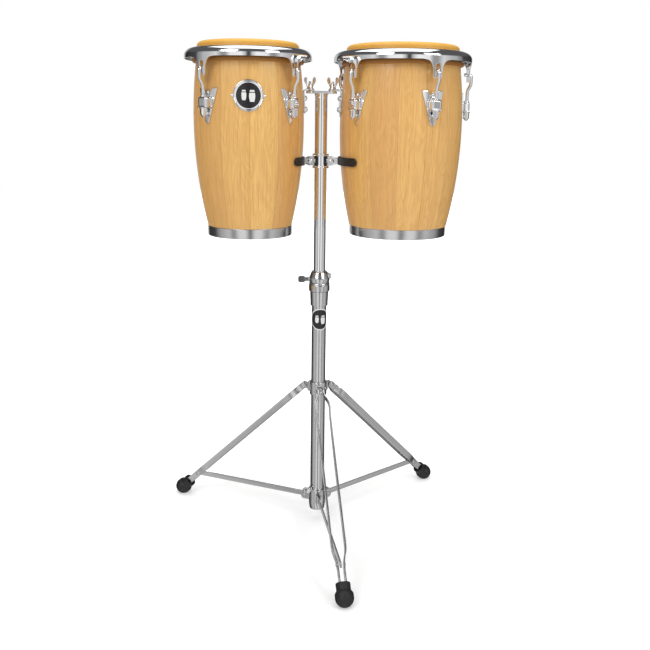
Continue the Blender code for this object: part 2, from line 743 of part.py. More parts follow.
def post():
    """Chromed tube with the welded top plate and the two studs."""
    low_face = TOP_PLATE_Z - TOP_PLATE_THICK
    thing = tube("post", POST, POST_WALL, POST_BOTTOM, low_face + OVERLAP)
    half, wide = TOP_PLATE_HALF, TOP_PLATE_WIDTH / 2
    corner = wide * TOP_PLATE_ROUND
    outline = []
    for sx, sy, start in ((1, -1, -90), (1, 1, 0), (-1, 1, 90), (-1, -1, 180)):
        centre = (sx * (half - corner), sy * (wide - corner))
        outline += arc(centre, corner, start, start + 90, 4)
    plate = guide(prism("post_plate", outline, low_face, TOP_PLATE_Z))
    boolean(thing, plate, "UNION")
    for side in (-1, 1):
        stud = rod("post_stud", STUD_RADIUS, (side * STUD_X, 0, TOP_PLATE_Z - OVERLAP),
                   (side * STUD_X, 0, TOP_PLATE_Z + STUD_LENGTH), 12)
        boolean(thing, guide(stud), "UNION")
    return finish(thing, "chrome")


def wing_nut_mesh():
    """Round hub with two raised wings and a bore through it, seated at height zero."""
    hub = turned("wing_nut", [(STUD_RADIUS + GAP, WING_HUB_HEIGHT),
                              (WING_HUB * 0.85, WING_HUB_HEIGHT), (WING_HUB, WING_SEAT),
                              (WING_HUB * 1.35, 0.0), (STUD_RADIUS + GAP, 0.0)],
                 16, closed=True)
    MODEL.objects.link(hub)
    reach, rise = WING_SPAN / 2, WING_RISE
    inside = STUD_RADIUS + 3 * GAP
    wing = [(inside, WING_ROOT), (WING_HUB + OVERLAP, WING_ROOT - GAP),
            (reach * 0.92, rise * 0.55), (reach, rise * 0.80), (reach * 0.77, rise),
            (reach * 0.54, rise * 0.92), (WING_HUB + OVERLAP / 2, WING_HUB_HEIGHT + OVERLAP),
            (inside, WING_HUB_HEIGHT - 2 * GAP)]
    for side in (1, -1):
        blade = prism("wing", wing, -WING_THICK / 2, WING_THICK / 2)
        blade.matrix_basis = (Matrix.Rotation(0 if side > 0 else pi, 4, "Z")
                              @ Matrix.Rotation(radians(90), 4, "X"))
        CUTTERS.objects.link(blade)
        boolean(hub, blade, "UNION")
    return settled(hub)


def wing_nuts():
    """The nuts that hold the brackets down on the post's plate."""
    mesh = wing_nut_mesh()
    seat = TOP_PLATE_Z + GAP + TONGUE_THICK + GAP
    for name, side, turn in (("left_wing_nut", -1, 20.0), ("right_wing_nut", 1, -35.0)):
        thing = bpy.data.objects.new(name, mesh.copy())
        finish(thing, "chrome", (side * STUD_X, 0, seat), (0, 0, radians(turn)))


def base_tube():
    """Lower tube of the stand, from the sliding hub up into the height clamp."""
    return finish(tube("base_tube", BASE, BASE_WALL, BASE_BOTTOM, BASE_TOP), "steel")


def height_clamp():
    """Stepped clamp on top of the base tube, split at the front, that grips the post."""
    bore_low, bore_high = BASE + GAP, POST + GAP
    thing = turned("height_clamp", [
        (CLAMP_BODY - CLAMP_EDGE, CLAMP_TOP), (CLAMP_BODY, CLAMP_TOP - CLAMP_EDGE),
        (CLAMP_BODY, CLAMP_STEP + CLAMP_EDGE), (CLAMP_NECK, CLAMP_STEP),
        (CLAMP_SKIRT, CLAMP_BOTTOM), (bore_low, CLAMP_BOTTOM),
        (bore_low, BASE_TOP + GAP), (bore_high, BASE_TOP + GAP), (bore_high, CLAMP_TOP)],
        TUBE_STEPS, closed=True)
    depth = CLAMP_BODY + OVERLAP
    slot = block("clamp_slot", (CLAMP_SLOT, depth, CLAMP_TOP - CLAMP_STEP),
                 (0, -depth / 2, (CLAMP_TOP + CLAMP_STEP) / 2 + CLAMP_EDGE))
    boolean(thing, guide(slot), "DIFFERENCE")
    return finish(thing, "steel")


def memory_lock():
    """Tapered collar that stays on the post and drops into the clamp's seat."""
    low = CLAMP_TOP + GAP
    bore = POST + GAP
    thing = turned("memory_lock", [
        (LOCK_TOP_RADIUS, low + LOCK_HEIGHT), (LOCK_RADIUS, low + LOCK_HEIGHT * 0.45),
        (LOCK_RADIUS + LOCK_BELT, low + LOCK_HEIGHT * 0.30), (LOCK_RADIUS, low),
        (bore, low), (bore, low + LOCK_HEIGHT)], TUBE_STEPS, closed=True)
    root = POST + 2 * OVERLAP
    ear = block("lock_ear", (LOCK_EAR - root, LOCK_EAR_DEPTH, LOCK_EAR_HEIGHT),
                ((LOCK_EAR + root) / 2, 0, low + LOCK_HEIGHT * 0.55))
    boolean(thing, guide(ear), "UNION")
    face = LOCK_RADIUS + LOCK_BOSS_OUT
    boss = rod("lock_boss", BOSS, (-root, 0, low + LOCK_BOLT_Z),
               (-face, 0, low + LOCK_BOLT_Z))
    boolean(thing, guide(boss), "UNION")
    hole = rod("lock_bolt_hole", PIN_RADIUS + GAP, (-POST, 0, low + LOCK_BOLT_Z),
               (-face - PAST, 0, low + LOCK_BOLT_Z))
    boolean(thing, guide(hole), "DIFFERENCE")
    return finish(thing, "steel")


def wing_screw_mesh(shank, length, height, thick):
    """A screw along -X whose flat wing starts at the origin's face."""
    stem = rod("screw", PIN_RADIUS, (shank, 0, 0), (-SCREW_NECK, 0, 0), 12)
    MODEL.objects.link(stem)
    half, face, corner = height / 2, -2 * GAP, SCREW_CORNER
    right = [(face, half * 0.55), (-SCREW_NECK, half * 0.6), (-2 * SCREW_NECK, half),
             (-length + corner, half), (-length, half - corner)]
    outline = [(x, -z) for x, z in reversed(right)] + right
    blade = prism("screw_wing", outline, -thick / 2, thick / 2)
    blade = joined("screw_wing", [turned_up(blade)])
    CUTTERS.objects.link(blade)
    boolean(stem, blade, "UNION")
    return settled(stem)


def turned_up(thing):
    """Stand an outline that lies in XY up into XZ."""
    thing.matrix_basis = Matrix.Rotation(radians(90), 4, "X")
    return thing


def lock_wing_bolt():
    """Wing bolt that tightens the memory lock on the post."""
    face = LOCK_RADIUS + LOCK_BOSS_OUT
    mesh = wing_screw_mesh(face - POST - OVERLAP, T_HANDLE_LENGTH, T_HANDLE_HEIGHT,
                           T_HANDLE_THICK)
    thing = bpy.data.objects.new("memory_lock_wing_bolt", mesh)
    place = (-face - GAP, 0, CLAMP_TOP + GAP + LOCK_BOLT_Z)
    return finish(thing, "chrome", place)


# ---------------------------------------------------------------- stabilizer
def yoke_half(name, side):
    """Half of the post clamp, with a flat arm out to each drum's pad."""
    low, high = YOKE_Z - YOKE_HEIGHT / 2, YOKE_Z + YOKE_HEIGHT / 2
    bore = POST + GAP
    thing = turned(name, [
        (YOKE_RADIUS, high), (YOKE_RADIUS, high - YOKE_FLANGE),
        (YOKE_WAIST, high - YOKE_FLANGE * 2), (YOKE_WAIST, low + YOKE_FLANGE * 2),
        (YOKE_RADIUS, low + YOKE_FLANGE), (YOKE_RADIUS, low),
        (bore, low), (bore, high)], TUBE_STEPS, closed=True)
    ends = []
    for drum in (LEFT, RIGHT):
        reach = abs(drum["x"]) - pad_outer(drum) - GAP
        ends.append(reach * (1 if drum["x"] > 0 else -1))
    for end in ends:
        start = bore + 2 * GAP
        length = abs(end) - start
        middle = (start + length / 2) * (1 if end > 0 else -1)
        arm = block(name + "_arm", (length, YOKE_ARM_THICK, YOKE_ARM_HEIGHT),
                    (middle, side * (YOKE_SPLIT / 2 + YOKE_ARM_THICK / 2), YOKE_Z))
        boolean(thing, guide(arm), "UNION")
    reach = 2 * (abs(LEFT["x"]) - LEFT["foot"])
    keep = block(name + "_keep", (reach * 2, reach, YOKE_HEIGHT * 1.2),
                 (0, side * (reach / 2 + YOKE_SPLIT / 2), YOKE_Z))
    boolean(thing, guide(keep), "INTERSECT")
    return finish(thing, "chrome")


def pad_inner(drum):
    """Inner radius of a pad: the stave radius at the pad's upper edge."""
    z = YOKE_Z + PAD_HEIGHT / 2
    return stave_radius(drum, z) / cos(pi / SHELL_STEPS) + GAP


def pad_outer(drum):
    """Outer radius of a pad."""
    return pad_inner(drum) + PAD_THICK


def pad(drum):
    """Rubber-covered arc that the shell leans on."""
    inner, outer = pad_inner(drum), pad_outer(drum)
    half = PAD_HALF_ANGLE
    outline = arc((0, 0), outer, -half, half, 13)
    outline += arc((0, 0), inner / cos(radians(half / 12)), half, -half, 13)
    name = drum["name"] + "_pad"
    thing = prism(name, outline, YOKE_Z - PAD_HEIGHT / 2, YOKE_Z + PAD_HEIGHT / 2)
    bevel = thing.modifiers.new("round", "BEVEL")
    bevel.width = PAD_ROUND
    bevel.segments = 2
    bevel.limit_method = "ANGLE"
    bevel.angle_limit = radians(50)
    return finish(thing, "rubber", (drum["x"], 0, 0), (0, 0, 0 if drum["side"] > 0 else pi))


# ---------------------------------------------------------------- tripod
def leg_collar():
    """Fixed collar on the base tube with a pierced lug for each leg."""
    low, high = COLLAR_Z, COLLAR_Z + COLLAR_HEIGHT
    bore = BASE + GAP
    thing = turned("leg_collar", [
        (COLLAR_RADIUS - CHAMFER, high), (COLLAR_RADIUS, high - CHAMFER),
        (COLLAR_RADIUS, low + CHAMFER), (COLLAR_RADIUS - CHAMFER, low), (bore, low),
        (bore, high)], TUBE_STEPS, closed=True)
    lugs, holes = [], []
    for _, azimuth in LEG_AZIMUTHS:
        turn = Matrix.Rotation(heading(azimuth), 4, "Z")
        radius = BAR_WIDTH / 2 - OVERLAP
        root = BASE + 2 * OVERLAP
        outline = [(root, LEG_PIN_Z - radius), (LEG_PIN_R, LEG_PIN_Z - radius)]
        outline += arc((LEG_PIN_R, LEG_PIN_Z), radius, -60, 60, 5)
        outline += [(LEG_PIN_R, LEG_PIN_Z + radius), (root, LEG_PIN_Z + radius)]
        lug = prism("leg_lug", outline, -LEG_LUG_THICK / 2, LEG_LUG_THICK / 2)
        lug.matrix_basis = turn @ Matrix.Rotation(radians(90), 4, "X")
        lugs.append(lug)
        hole = rod("leg_lug_hole", PIN_RADIUS + GAP, (LEG_PIN_R, -PAST, LEG_PIN_Z),
                   (LEG_PIN_R, PAST, LEG_PIN_Z), 12)
        hole.matrix_basis = turn
        holes.append(hole)
    boolean(thing, guide(joined("leg_lugs", lugs)), "UNION")
    boolean(thing, guide(joined("leg_lug_holes", holes)), "DIFFERENCE")
    return finish(thing, "steel")


def bar_line():
    """Half spacing of the twin bars against the distance down the leg."""
    end = LEG_LENGTH - FOOT_NECK_TOP + TENON
    low = STRUT_ALONG
    past = BOW_AT * 0.6
    return [(-BAR_WIDTH / 2, BAR_TOP_HALF), (BAR_WIDTH * 0.53, BAR_TOP_HALF),
            (past, BAR_BOW_HALF * 0.80), (BOW_AT, BAR_BOW_HALF),
            (BOW_AT * 2.8, BAR_MID_HALF * 1.09), (low * 0.69, BAR_MID_HALF),
            (low - BAR_CRANK * 5, BAR_MID_HALF * 1.03), (low - BAR_CRANK * 3, BAR_MID_HALF * 0.85),
            (low - BAR_CRANK, BAR_LOW_HALF), (end, BAR_LOW_HALF * 0.9)]


def leg_mesh():
    """Twin bowed flat bars, joined by a block in the foot and by the pin on top.

    Local X runs down the leg from the pin, Y is the pin's axis.
    """
    line = bar_line()
    half = BAR_THICK / 2
    outer = offset(line, -half)
    inner = offset(line, half)
    end = line[-1][0]
    joint = LEG_LENGTH - FOOT_NECK_TOP + BLOCK_IN
    inner = [p for p in inner if p[0] < joint] + [(joint, line[-1][1] - half)]
    side = outer + [(end, 0.0)]
    outline = side + [(x, -y) for x, y in reversed(outer)]
    outline += [(x, -y) for x, y in inner]
    outline += list(reversed(inner))
    bars = prism("leg", outline, -BAR_WIDTH / 2, BAR_WIDTH / 2)
    MODEL.objects.link(bars)
    radius = BAR_WIDTH / 2
    rounded = arc((0, 0), radius, 90, 270, 9)
    rounded += [(LEG_LENGTH, -radius), (LEG_LENGTH, radius)]
    side_view = prism("leg_side", rounded, -2 * BAR_BOW_HALF, 2 * BAR_BOW_HALF)
    side_view = joined("leg_side", [turned_up(side_view)])
    CUTTERS.objects.link(side_view)
    boolean(bars, side_view, "INTERSECT")
    pin = rod("leg_pin", PIN_RADIUS, (0, -BAR_TOP_HALF, 0), (0, BAR_TOP_HALF, 0), 12)
    CUTTERS.objects.link(pin)
    boolean(bars, pin, "UNION")
    return settled(bars)


def foot_mesh():
    """Rubber ball foot with a neck and a socket; X runs down the leg from the ball."""
    socket = FOOT_NECK - FOOT_WALL
    top, floor = FOOT_NECK_TOP, FOOT_NECK_TOP - TENON - GAP
    outline = [(0.0, floor), (socket, floor), (socket, top), (FOOT_NECK, top - CHAMFER),
               (FOOT_NECK, BALL_RADIUS * 0.68), (BALL_RADIUS, BALL_RADIUS * 0.35)]
    outline += arc((0, 0), BALL_RADIUS, 0, -90, 6)
    thing = turned("foot", outline, FOOT_STEPS)
    MODEL.objects.link(thing)
    return settled(thing)


def frame_on(azimuth, radius, height, angle):
    """Matrix of a bar that starts at a pin and leans out by an angle from straight down.

    Local X is down the bar, local Y is the pin's axis.
    """
    place = (radius * sin(radians(azimuth)), -radius * cos(radians(azimuth)), height)
    down = Matrix.Rotation(pi / 2 - angle, 4, "Y")
    return Matrix.Translation(place) @ Matrix.Rotation(heading(azimuth), 4, "Z") @ down


def legs():
    """Three legs and their rubber feet."""
    leg, foot = leg_mesh(), foot_mesh()
    for name, azimuth in LEG_AZIMUTHS:
        matrix = frame_on(azimuth, LEG_PIN_R, LEG_PIN_Z, LEG_ANGLE)
        thing = finish(bpy.data.objects.new(name + "_leg", leg.copy()), "steel")
        thing.matrix_basis = matrix
        rubber = finish(bpy.data.objects.new(name + "_foot", foot.copy()), "rubber")
        rubber.matrix_basis = (matrix @ Matrix.Translation((LEG_LENGTH, 0, 0))
                               @ Matrix.Rotation(radians(-90), 4, "Y"))
        place = rubber.matrix_basis.translation
        floor = block(name + "_floor", (6 * PAST, 6 * PAST, 2 * PAST), (0, 0, -PAST))
        boolean(rubber, guide(floor, (place.x, place.y, FLOOR)), "DIFFERENCE")


def slide_hub():
    """Hub that runs on the base tube, with a slotted, pinned lug for each strut."""
    bore = BASE + GAP
    thing = turned("slide_hub", [
        (HUB_RADIUS - CHAMFER, HUB_TOP), (HUB_RADIUS, HUB_TOP - CHAMFER),
        (HUB_RADIUS, HUB_BOTTOM + HUB_NOSE), (HUB_RADIUS - CHAMFER, HUB_BOTTOM + HUB_NOSE / 3),
        (bore + GAP, HUB_BOTTOM), (bore, HUB_BOTTOM), (bore, HUB_TOP)],
        TUBE_STEPS, closed=True)
    eye = STRUT_WIDTH / 2
    lugs, slots, pins = [], [], []
    for _, azimuth in LEG_AZIMUTHS:
        turn = Matrix.Rotation(heading(azimuth), 4, "Z")
        outer = HUB_PIN_R + eye + HUB_LUG_PAST
        base = BASE + 2 * OVERLAP
        low, high = HUB_PIN_Z - HUB_LUG_HEIGHT / 2, HUB_PIN_Z + HUB_LUG_HEIGHT / 2
        flat = outer - HUB_LUG_ROUND * 0.67
        outline = [(base, low), (flat, low)]
        outline += arc((flat - OVERLAP, HUB_PIN_Z), HUB_LUG_ROUND, -65, 65, 6)
        outline += [(flat, high), (base, high)]
        lug = prism("hub_lug", outline, -HUB_LUG_WIDTH / 2, HUB_LUG_WIDTH / 2)
        lug.matrix_basis = turn @ Matrix.Rotation(radians(90), 4, "X")
        lugs.append(lug)
        start = HUB_PIN_R - eye - 2 * GAP
        slot = block("hub_slot", (4 * PAST, STRUT_THICK + 2 * GAP, HUB_LUG_HEIGHT + 4 * PAST),
                     (start + 2 * PAST, 0, HUB_PIN_Z))
        slot.matrix_basis = turn
        slots.append(slot)
        reach = HUB_LUG_WIDTH / 2 - OVERLAP
        pin = rod("hub_pin", HUB_PIN_RADIUS, (HUB_PIN_R, -reach, HUB_PIN_Z),
                  (HUB_PIN_R, reach, HUB_PIN_Z), 12)
        pin.matrix_basis = turn
        pins.append(pin)
    boolean(thing, guide(joined("hub_lugs", lugs)), "UNION")
    boolean(thing, guide(joined("hub_slots", slots)), "DIFFERENCE")
    boolean(thing, guide(joined("hub_pins", pins)), "UNION")
    turn = heading(HUB_SCREW_AZIMUTH)
    boss = rod("hub_boss", BOSS, (BASE + OVERLAP, 0, HUB_SCREW_Z),
               (HUB_RADIUS + HUB_BOSS_OUT, 0, HUB_SCREW_Z))
    boolean(thing, guide(boss, turn=(0, 0, turn)), "UNION")
    hole = rod("hub_screw_hole", PIN_RADIUS + GAP, (BASE - OVERLAP, 0, HUB_SCREW_Z),
               (HUB_RADIUS + PAST, 0, HUB_SCREW_Z), 12)
    boolean(thing, guide(hole, turn=(0, 0, turn)), "DIFFERENCE")
    bore_again = rod("hub_bore", bore, (0, 0, HUB_BOTTOM - PAST), (0, 0, HUB_TOP + 2 * PAST),
                     TUBE_STEPS)
    boolean(thing, guide(bore_again), "DIFFERENCE")
    return finish(thing, "steel")


def hub_wing_screw():
    """Wing screw that locks the hub on the base tube."""
    face = HUB_RADIUS + HUB_BOSS_OUT + GAP
    mesh = wing_screw_mesh(face - BASE - OVERLAP, HUB_HANDLE_LENGTH, HUB_HANDLE_HEIGHT,
                           HUB_HANDLE_THICK)
    thing = bpy.data.objects.new("hub_wing_screw", mesh)
    azimuth = radians(HUB_SCREW_AZIMUTH)
    place = (face * sin(azimuth), -face * cos(azimuth), HUB_SCREW_Z)
    return finish(thing, "chrome", place, (0, 0, heading(HUB_SCREW_AZIMUTH) + pi))


def strut_mesh():
    """Flat bar with round ends and a hole over the hub's pin; X runs to the leg."""
    eye = STRUT_WIDTH / 2
    outline = arc((0, 0), eye, 90, 270, 9) + arc((STRUT_LENGTH, 0), eye, -90, 90, 9)
    bar = prism("strut", outline, -STRUT_THICK / 2, STRUT_THICK / 2)
    bar = joined("strut", [turned_up(bar)])
    MODEL.objects.link(bar)
    hole = rod("strut_hole", HUB_PIN_RADIUS + GAP, (0, -PAST, 0), (0, PAST, 0), 12)
    CUTTERS.objects.link(hole)
    boolean(bar, hole, "DIFFERENCE")
    return settled(bar)


def struts():
    """Three struts from the hub to the legs."""
    mesh = strut_mesh()
    for name, azimuth in LEG_AZIMUTHS:
        thing = finish(bpy.data.objects.new(name + "_strut", mesh.copy()), "steel")
        thing.matrix_basis = frame_on(azimuth, HUB_PIN_R, HUB_PIN_Z, STRUT_ANGLE)


def centre_on_footprint():
    """Move everything so that the origin is under the middle of the whole object."""
    bpy.context.view_layer.update()
    graph = bpy.context.evaluated_depsgraph_get()
    low, high = Vector((1e9,) * 3), Vector((-1e9,) * 3)
    for thing in MODEL.objects:
        if thing.type != "MESH":
            continue
        seen = thing.evaluated_get(graph)
        for corner in (seen.matrix_world @ v.co for v in seen.data.vertices):
            low = Vector(map(min, low, corner))
            high = Vector(map(max, high, corner))
    ROOT.location = (-(low.x + high.x) / 2, -(low.y + high.y) / 2, 0.0)


def main():
    for drum in (LEFT, RIGHT):
        shell(drum)
        bottom_band(drum)
        head(drum)
        rim(drum)
        tuning(drum)
        bracket(drum)
        pad(drum)
    post()
    wing_nuts()
    yoke_half("stabilizer_front", -1)
    yoke_half("stabilizer_back", 1)
    base_tube()
    height_clamp()
    memory_lock()
    lock_wing_bolt()
    leg_collar()
    legs()
    slide_hub()
    hub_wing_screw()
    struts()
    centre_on_footprint()


main()
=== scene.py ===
"""Looks for a pair of small congas on a folding tripod stand.

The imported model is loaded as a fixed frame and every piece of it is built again
as a fine surface with its own finish, in the same place and on the same body.
A surface is an array of points, rows by columns, worked out with numpy: a
profile turned about an axis, a flat bar's sections along its length, or a
round section carried along a path.  Lengths are metres and +Z is up.
"""

import json
from math import asin, atan2, cos, hypot, pi, radians, sin

import bmesh
import bpy
import numpy as np
from bpy.props import FloatProperty, FloatVectorProperty, IntProperty, PointerProperty
from mathutils import Matrix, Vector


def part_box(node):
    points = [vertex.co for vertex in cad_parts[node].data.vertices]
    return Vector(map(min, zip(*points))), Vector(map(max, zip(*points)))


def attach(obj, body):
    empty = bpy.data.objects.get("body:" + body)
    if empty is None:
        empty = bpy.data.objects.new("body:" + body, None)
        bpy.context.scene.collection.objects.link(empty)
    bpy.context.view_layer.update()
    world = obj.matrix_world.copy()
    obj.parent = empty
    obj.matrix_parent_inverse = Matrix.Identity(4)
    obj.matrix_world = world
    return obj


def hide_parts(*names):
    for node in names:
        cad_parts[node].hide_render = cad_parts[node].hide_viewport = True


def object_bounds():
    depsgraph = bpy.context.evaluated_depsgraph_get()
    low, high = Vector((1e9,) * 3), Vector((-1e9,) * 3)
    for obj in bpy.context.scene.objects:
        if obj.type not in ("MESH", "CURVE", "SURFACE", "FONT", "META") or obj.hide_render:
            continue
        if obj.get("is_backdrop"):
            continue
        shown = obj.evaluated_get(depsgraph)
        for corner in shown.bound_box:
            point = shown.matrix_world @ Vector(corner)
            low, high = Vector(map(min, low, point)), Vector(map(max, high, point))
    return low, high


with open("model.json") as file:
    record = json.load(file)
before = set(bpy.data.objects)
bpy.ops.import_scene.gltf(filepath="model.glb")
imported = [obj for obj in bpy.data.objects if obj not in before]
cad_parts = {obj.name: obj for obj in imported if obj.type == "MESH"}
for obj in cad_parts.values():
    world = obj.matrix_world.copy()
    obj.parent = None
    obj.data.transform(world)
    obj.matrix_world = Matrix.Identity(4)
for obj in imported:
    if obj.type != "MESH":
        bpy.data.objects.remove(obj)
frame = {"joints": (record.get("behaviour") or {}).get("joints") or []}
cad_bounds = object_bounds()

bl_info = {
    "name": "Conga pair",
    "version": (1, 0, 0),
    "blender": (4, 5, 0),
    "location": "3D View > Sidebar > Congas",
    "description": "Builds two small congas on a tripod stand around their packed frame",
    "category": "Object",
}

# ---------------------------------------------------------------- places and sizes
GAP = 0.0003                    # between two pieces that touch
JOINTS = {joint["name"]: joint for joint in frame["joints"]}
LEGS = ("front", "right", "left")


def box(node):
    """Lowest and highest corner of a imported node, as arrays."""
    low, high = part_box(node)
    return np.array(low), np.array(high)


def middle(node):
    """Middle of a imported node's box."""
    return sum(box(node)) / 2


def pin(joint):
    """Where a hinge turns."""
    return np.array(JOINTS[joint]["pos_m"])


AXIS = middle("base_tube")[:2]                  # the post's axis, seen from above
HEAD_TOP = box("left_head")[1][2]
DRUM_BOTTOM = box("left_bottom_band")[0][2]
WALL = 0.010
BAND_HEIGHT = 0.0200
BAND_THICK = 0.0015
SKIN = 0.0015
BEARING_ROUND = 0.0070
SKIRT = 0.0400                  # from the head down to the bottom of the flesh hoop
HOOP_HEIGHT = 0.0080
HOOP_OUT = 0.0048
RIM_SHEET = 0.0025
RIM_FREE = 0.0030
RIM_TOP_DROP = 0.0125
RIM_REACH = 0.0257
RIM_LIP_DROP = 0.0330
EAR_TOP_HALF = 0.0250
EAR_HALF = 0.0100
EAR_DROP = 0.0680
WINDOW_HALF = 0.0050
WINDOW_TOP = 0.0405
WINDOW_BOTTOM = 0.0570
EAR_NOTCH_HALF = 0.0040
EAR_NOTCH_DEPTH = 0.0045
ROD = 0.0033
HOOK_BULGE = 0.0062
ROD_BOTTOM = 0.1415
LUG_TOP = 0.0900
LUG_NOTCH = 0.1010
BOX_TOP = 0.1060
BOX_BOTTOM = 0.1270
LUG_TIP = 0.1560
LUG_HALF = 0.0235
LUG_PLATE = 0.0025
BOX_HALF = 0.0115
BOX_OFF = 0.0170
NUT_LENGTH = 0.0180
PLATE_TOP = JOINTS["left_wing_nut_turn"]["pos_m"][2]
PLATE_THICK = 0.0050
STUD_X = AXIS[0] - JOINTS["left_wing_nut_turn"]["pos_m"][0]
TONGUE_THICK = 0.0030
POST = 0.0127
BASE = 0.015875
BAR_WIDTH = 0.0150
BAR_THICK = 0.0030
STRUT_WIDTH = 0.0120


class Drum:
    """The sizes of one drum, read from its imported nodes."""

    def __init__(self, side, head, belly_height, staves):
        self.side = side
        low, high = box(side + "_shell")
        self.centre = (low[:2] + high[:2]) / 2
        self.belly = (high[1] - low[1]) / 2
        self.belly_z = belly_height
        self.head = head
        band_low, band_high = box(side + "_bottom_band")
        self.foot = (band_high[1] - band_low[1]) / 2 - BAND_THICK - GAP
        self.staves = staves
        self.neck = head - SKIN - GAP
        self.neck_z = HEAD_TOP - SKIN - GAP - BEARING_ROUND
        rise, drop = self.neck_z - belly_height, self.belly - self.neck
        self.curve = (rise * rise + drop * drop) / (2 * drop)
        turns = sorted(name for name in JOINTS if name.startswith(side + "_nut_"))
        places = [pin(name)[:2] - self.centre for name in turns]
        self.lugs = [atan2(y, x) for x, y in places]
        self.rod = hypot(*places[0])
        self.to_post = 0.0 if self.centre[0] < AXIS[0] else pi

    def stave(self, z):
        """Outer radius of the bent staves: an arc of one circle, widest at the belly."""
        off = np.asarray(z) - self.belly_z
        return self.belly - (self.curve - np.sqrt(self.curve ** 2 - off ** 2))

    def on_staves(self, towards, x, z, depth):
        """Points that hug the staves: x round the drum from a heading, depth outwards."""
        radius = self.stave(z) + GAP + depth
        angle = towards + x / radius
        return np.stack([self.centre[0] + radius * np.cos(angle),
                         self.centre[1] + radius * np.sin(angle),
                         z + 0 * radius], -1)

    def facing(self, towards, out, x, z):
        """Points in a drum's own straight frame: out from its axis, x to the side."""
        side = np.array([-sin(towards), cos(towards)])
        ahead = np.array([cos(towards), sin(towards)])
        flat = self.centre + out[..., None] * ahead + x[..., None] * side
        return np.concatenate([flat, (z + 0 * out)[..., None]], -1)


# ---------------------------------------------------------------- settings
def length(name, text, default, **more):
    """A length that a user may change."""
    return FloatProperty(name=name, description=text, default=default, min=0.0,
                         unit="LENGTH", subtype="DISTANCE", precision=4, **more)


def colour(name, text, default):
    """A colour that a user may change."""
    return FloatVectorProperty(name=name, description=text, default=default, size=3,
                               min=0.0, max=1.0, subtype="COLOR")


def factor(name, text, default):
    """A share from nothing to all that a user may change."""
    return FloatProperty(name=name, description=text, default=default, min=0.0, max=1.0,
                         subtype="FACTOR")


class DrumSettings(bpy.types.PropertyGroup):
    """Sizes and finishes of the two drums"""

    left_head: length("Left head radius", "Radius of the small drum's head", 0.1020)
    right_head: length("Right head radius", "Radius of the big drum's head", 0.1147)
    left_belly: length("Left belly height", "Height of the small drum's widest place", 0.8936)
    right_belly: length("Right belly height", "Height of the big drum's widest place", 0.8850)
    left_staves: IntProperty(name="Left staves", default=12, min=3,
                             description="Number of staves round the small drum")
    right_staves: IntProperty(name="Right staves", default=14, min=3,
                              description="Number of staves round the big drum")
    badge: length("Badge radius", "Radius of the round badge", 0.0297)
    badge_height: length("Badge height", "Height of the badge's middle", 0.9430)
    wood_pale: colour("Pale wood", "Palest staves under their lacquer", (0.88, 0.545, 0.170))
    wood_deep: colour("Deep wood", "Darkest streaks of the staves", (0.53, 0.235, 0.060))
    skin: colour("Rawhide", "Scraped rawhide of the heads", (0.88, 0.50, 0.085))


class HardwareSettings(bpy.types.PropertyGroup):
    """Finish and small sizes of the chromed fittings"""

    chrome: colour("Chrome", "Reflection of the bright plate", (0.86, 0.865, 0.875))
    chrome_roughness: factor("Chrome roughness", "How much the bright plate blurs", 0.06)
    nut_radius: length("Tuning nut", "Half the width of a tuning nut over its flats", 0.0056)
    bolt: length("Bolt head", "Radius of the lug bolts' heads", 0.0036)
    wing_span: length("Wing nut span", "Width of a wing nut over its wings", 0.0260)
    wing_rise: length("Wing nut height", "Height of a wing nut over its wings", 0.0240)


class StandSettings(bpy.types.PropertyGroup):
    """Finish and small sizes of the stand"""

    steel: colour("Plated steel", "Reflection of the satin plate", (0.66, 0.66, 0.665))
    steel_roughness: factor("Steel roughness", "How much the satin plate blurs", 0.24)
    rubber: colour("Rubber", "Moulded black rubber", (0.009, 0.009, 0.009))
    label: length("Label radius", "Radius of the round label on the base tube", 0.0240)
    label_height: length("Label height", "Height of the label's middle", 0.4800)
    rivet: length("Rivet", "Radius of the legs' rivet heads", 0.0052)


class StageSettings(bpy.types.PropertyGroup):
    """Floor, light and camera"""

    floor: colour("Floor", "Plain pale floor", (0.93, 0.93, 0.93))
    ambient: FloatProperty(name="Ambient", description="Light from all round",
                           default=0.56, min=0.0)
    key_power: FloatProperty(name="Key light", description="Power of the big soft light",
                             default=30.0, min=0.0, unit="POWER")
    lens: FloatProperty(name="Lens", description="Focal length of the camera",
                        default=44.48, min=1.0, unit="CAMERA")
    pitch: FloatProperty(name="Pitch", description="How far the camera looks down",
                         default=radians(14.29), unit="ROTATION", subtype="ANGLE")
    roll: FloatProperty(name="Roll", description="Lean of the camera about its own axis",
                        default=radians(0.74), unit="ROTATION", subtype="ANGLE")
    heading: FloatProperty(name="Heading", description="Turn of the camera from +Y to +X",
                           default=radians(5.9), unit="ROTATION", subtype="ANGLE")


def drums():
    """Both drums with their sizes."""
    look = bpy.context.scene.conga_drums
    return (Drum("left", look.left_head, look.left_belly, look.left_staves),
            Drum("right", look.right_head, look.right_belly, look.right_staves))


# ---------------------------------------------------------------- shapes
def spread(start, end, count, finish=True):
    """Evenly spaced values as an array."""
    return np.linspace(start, end, count, endpoint=finish)


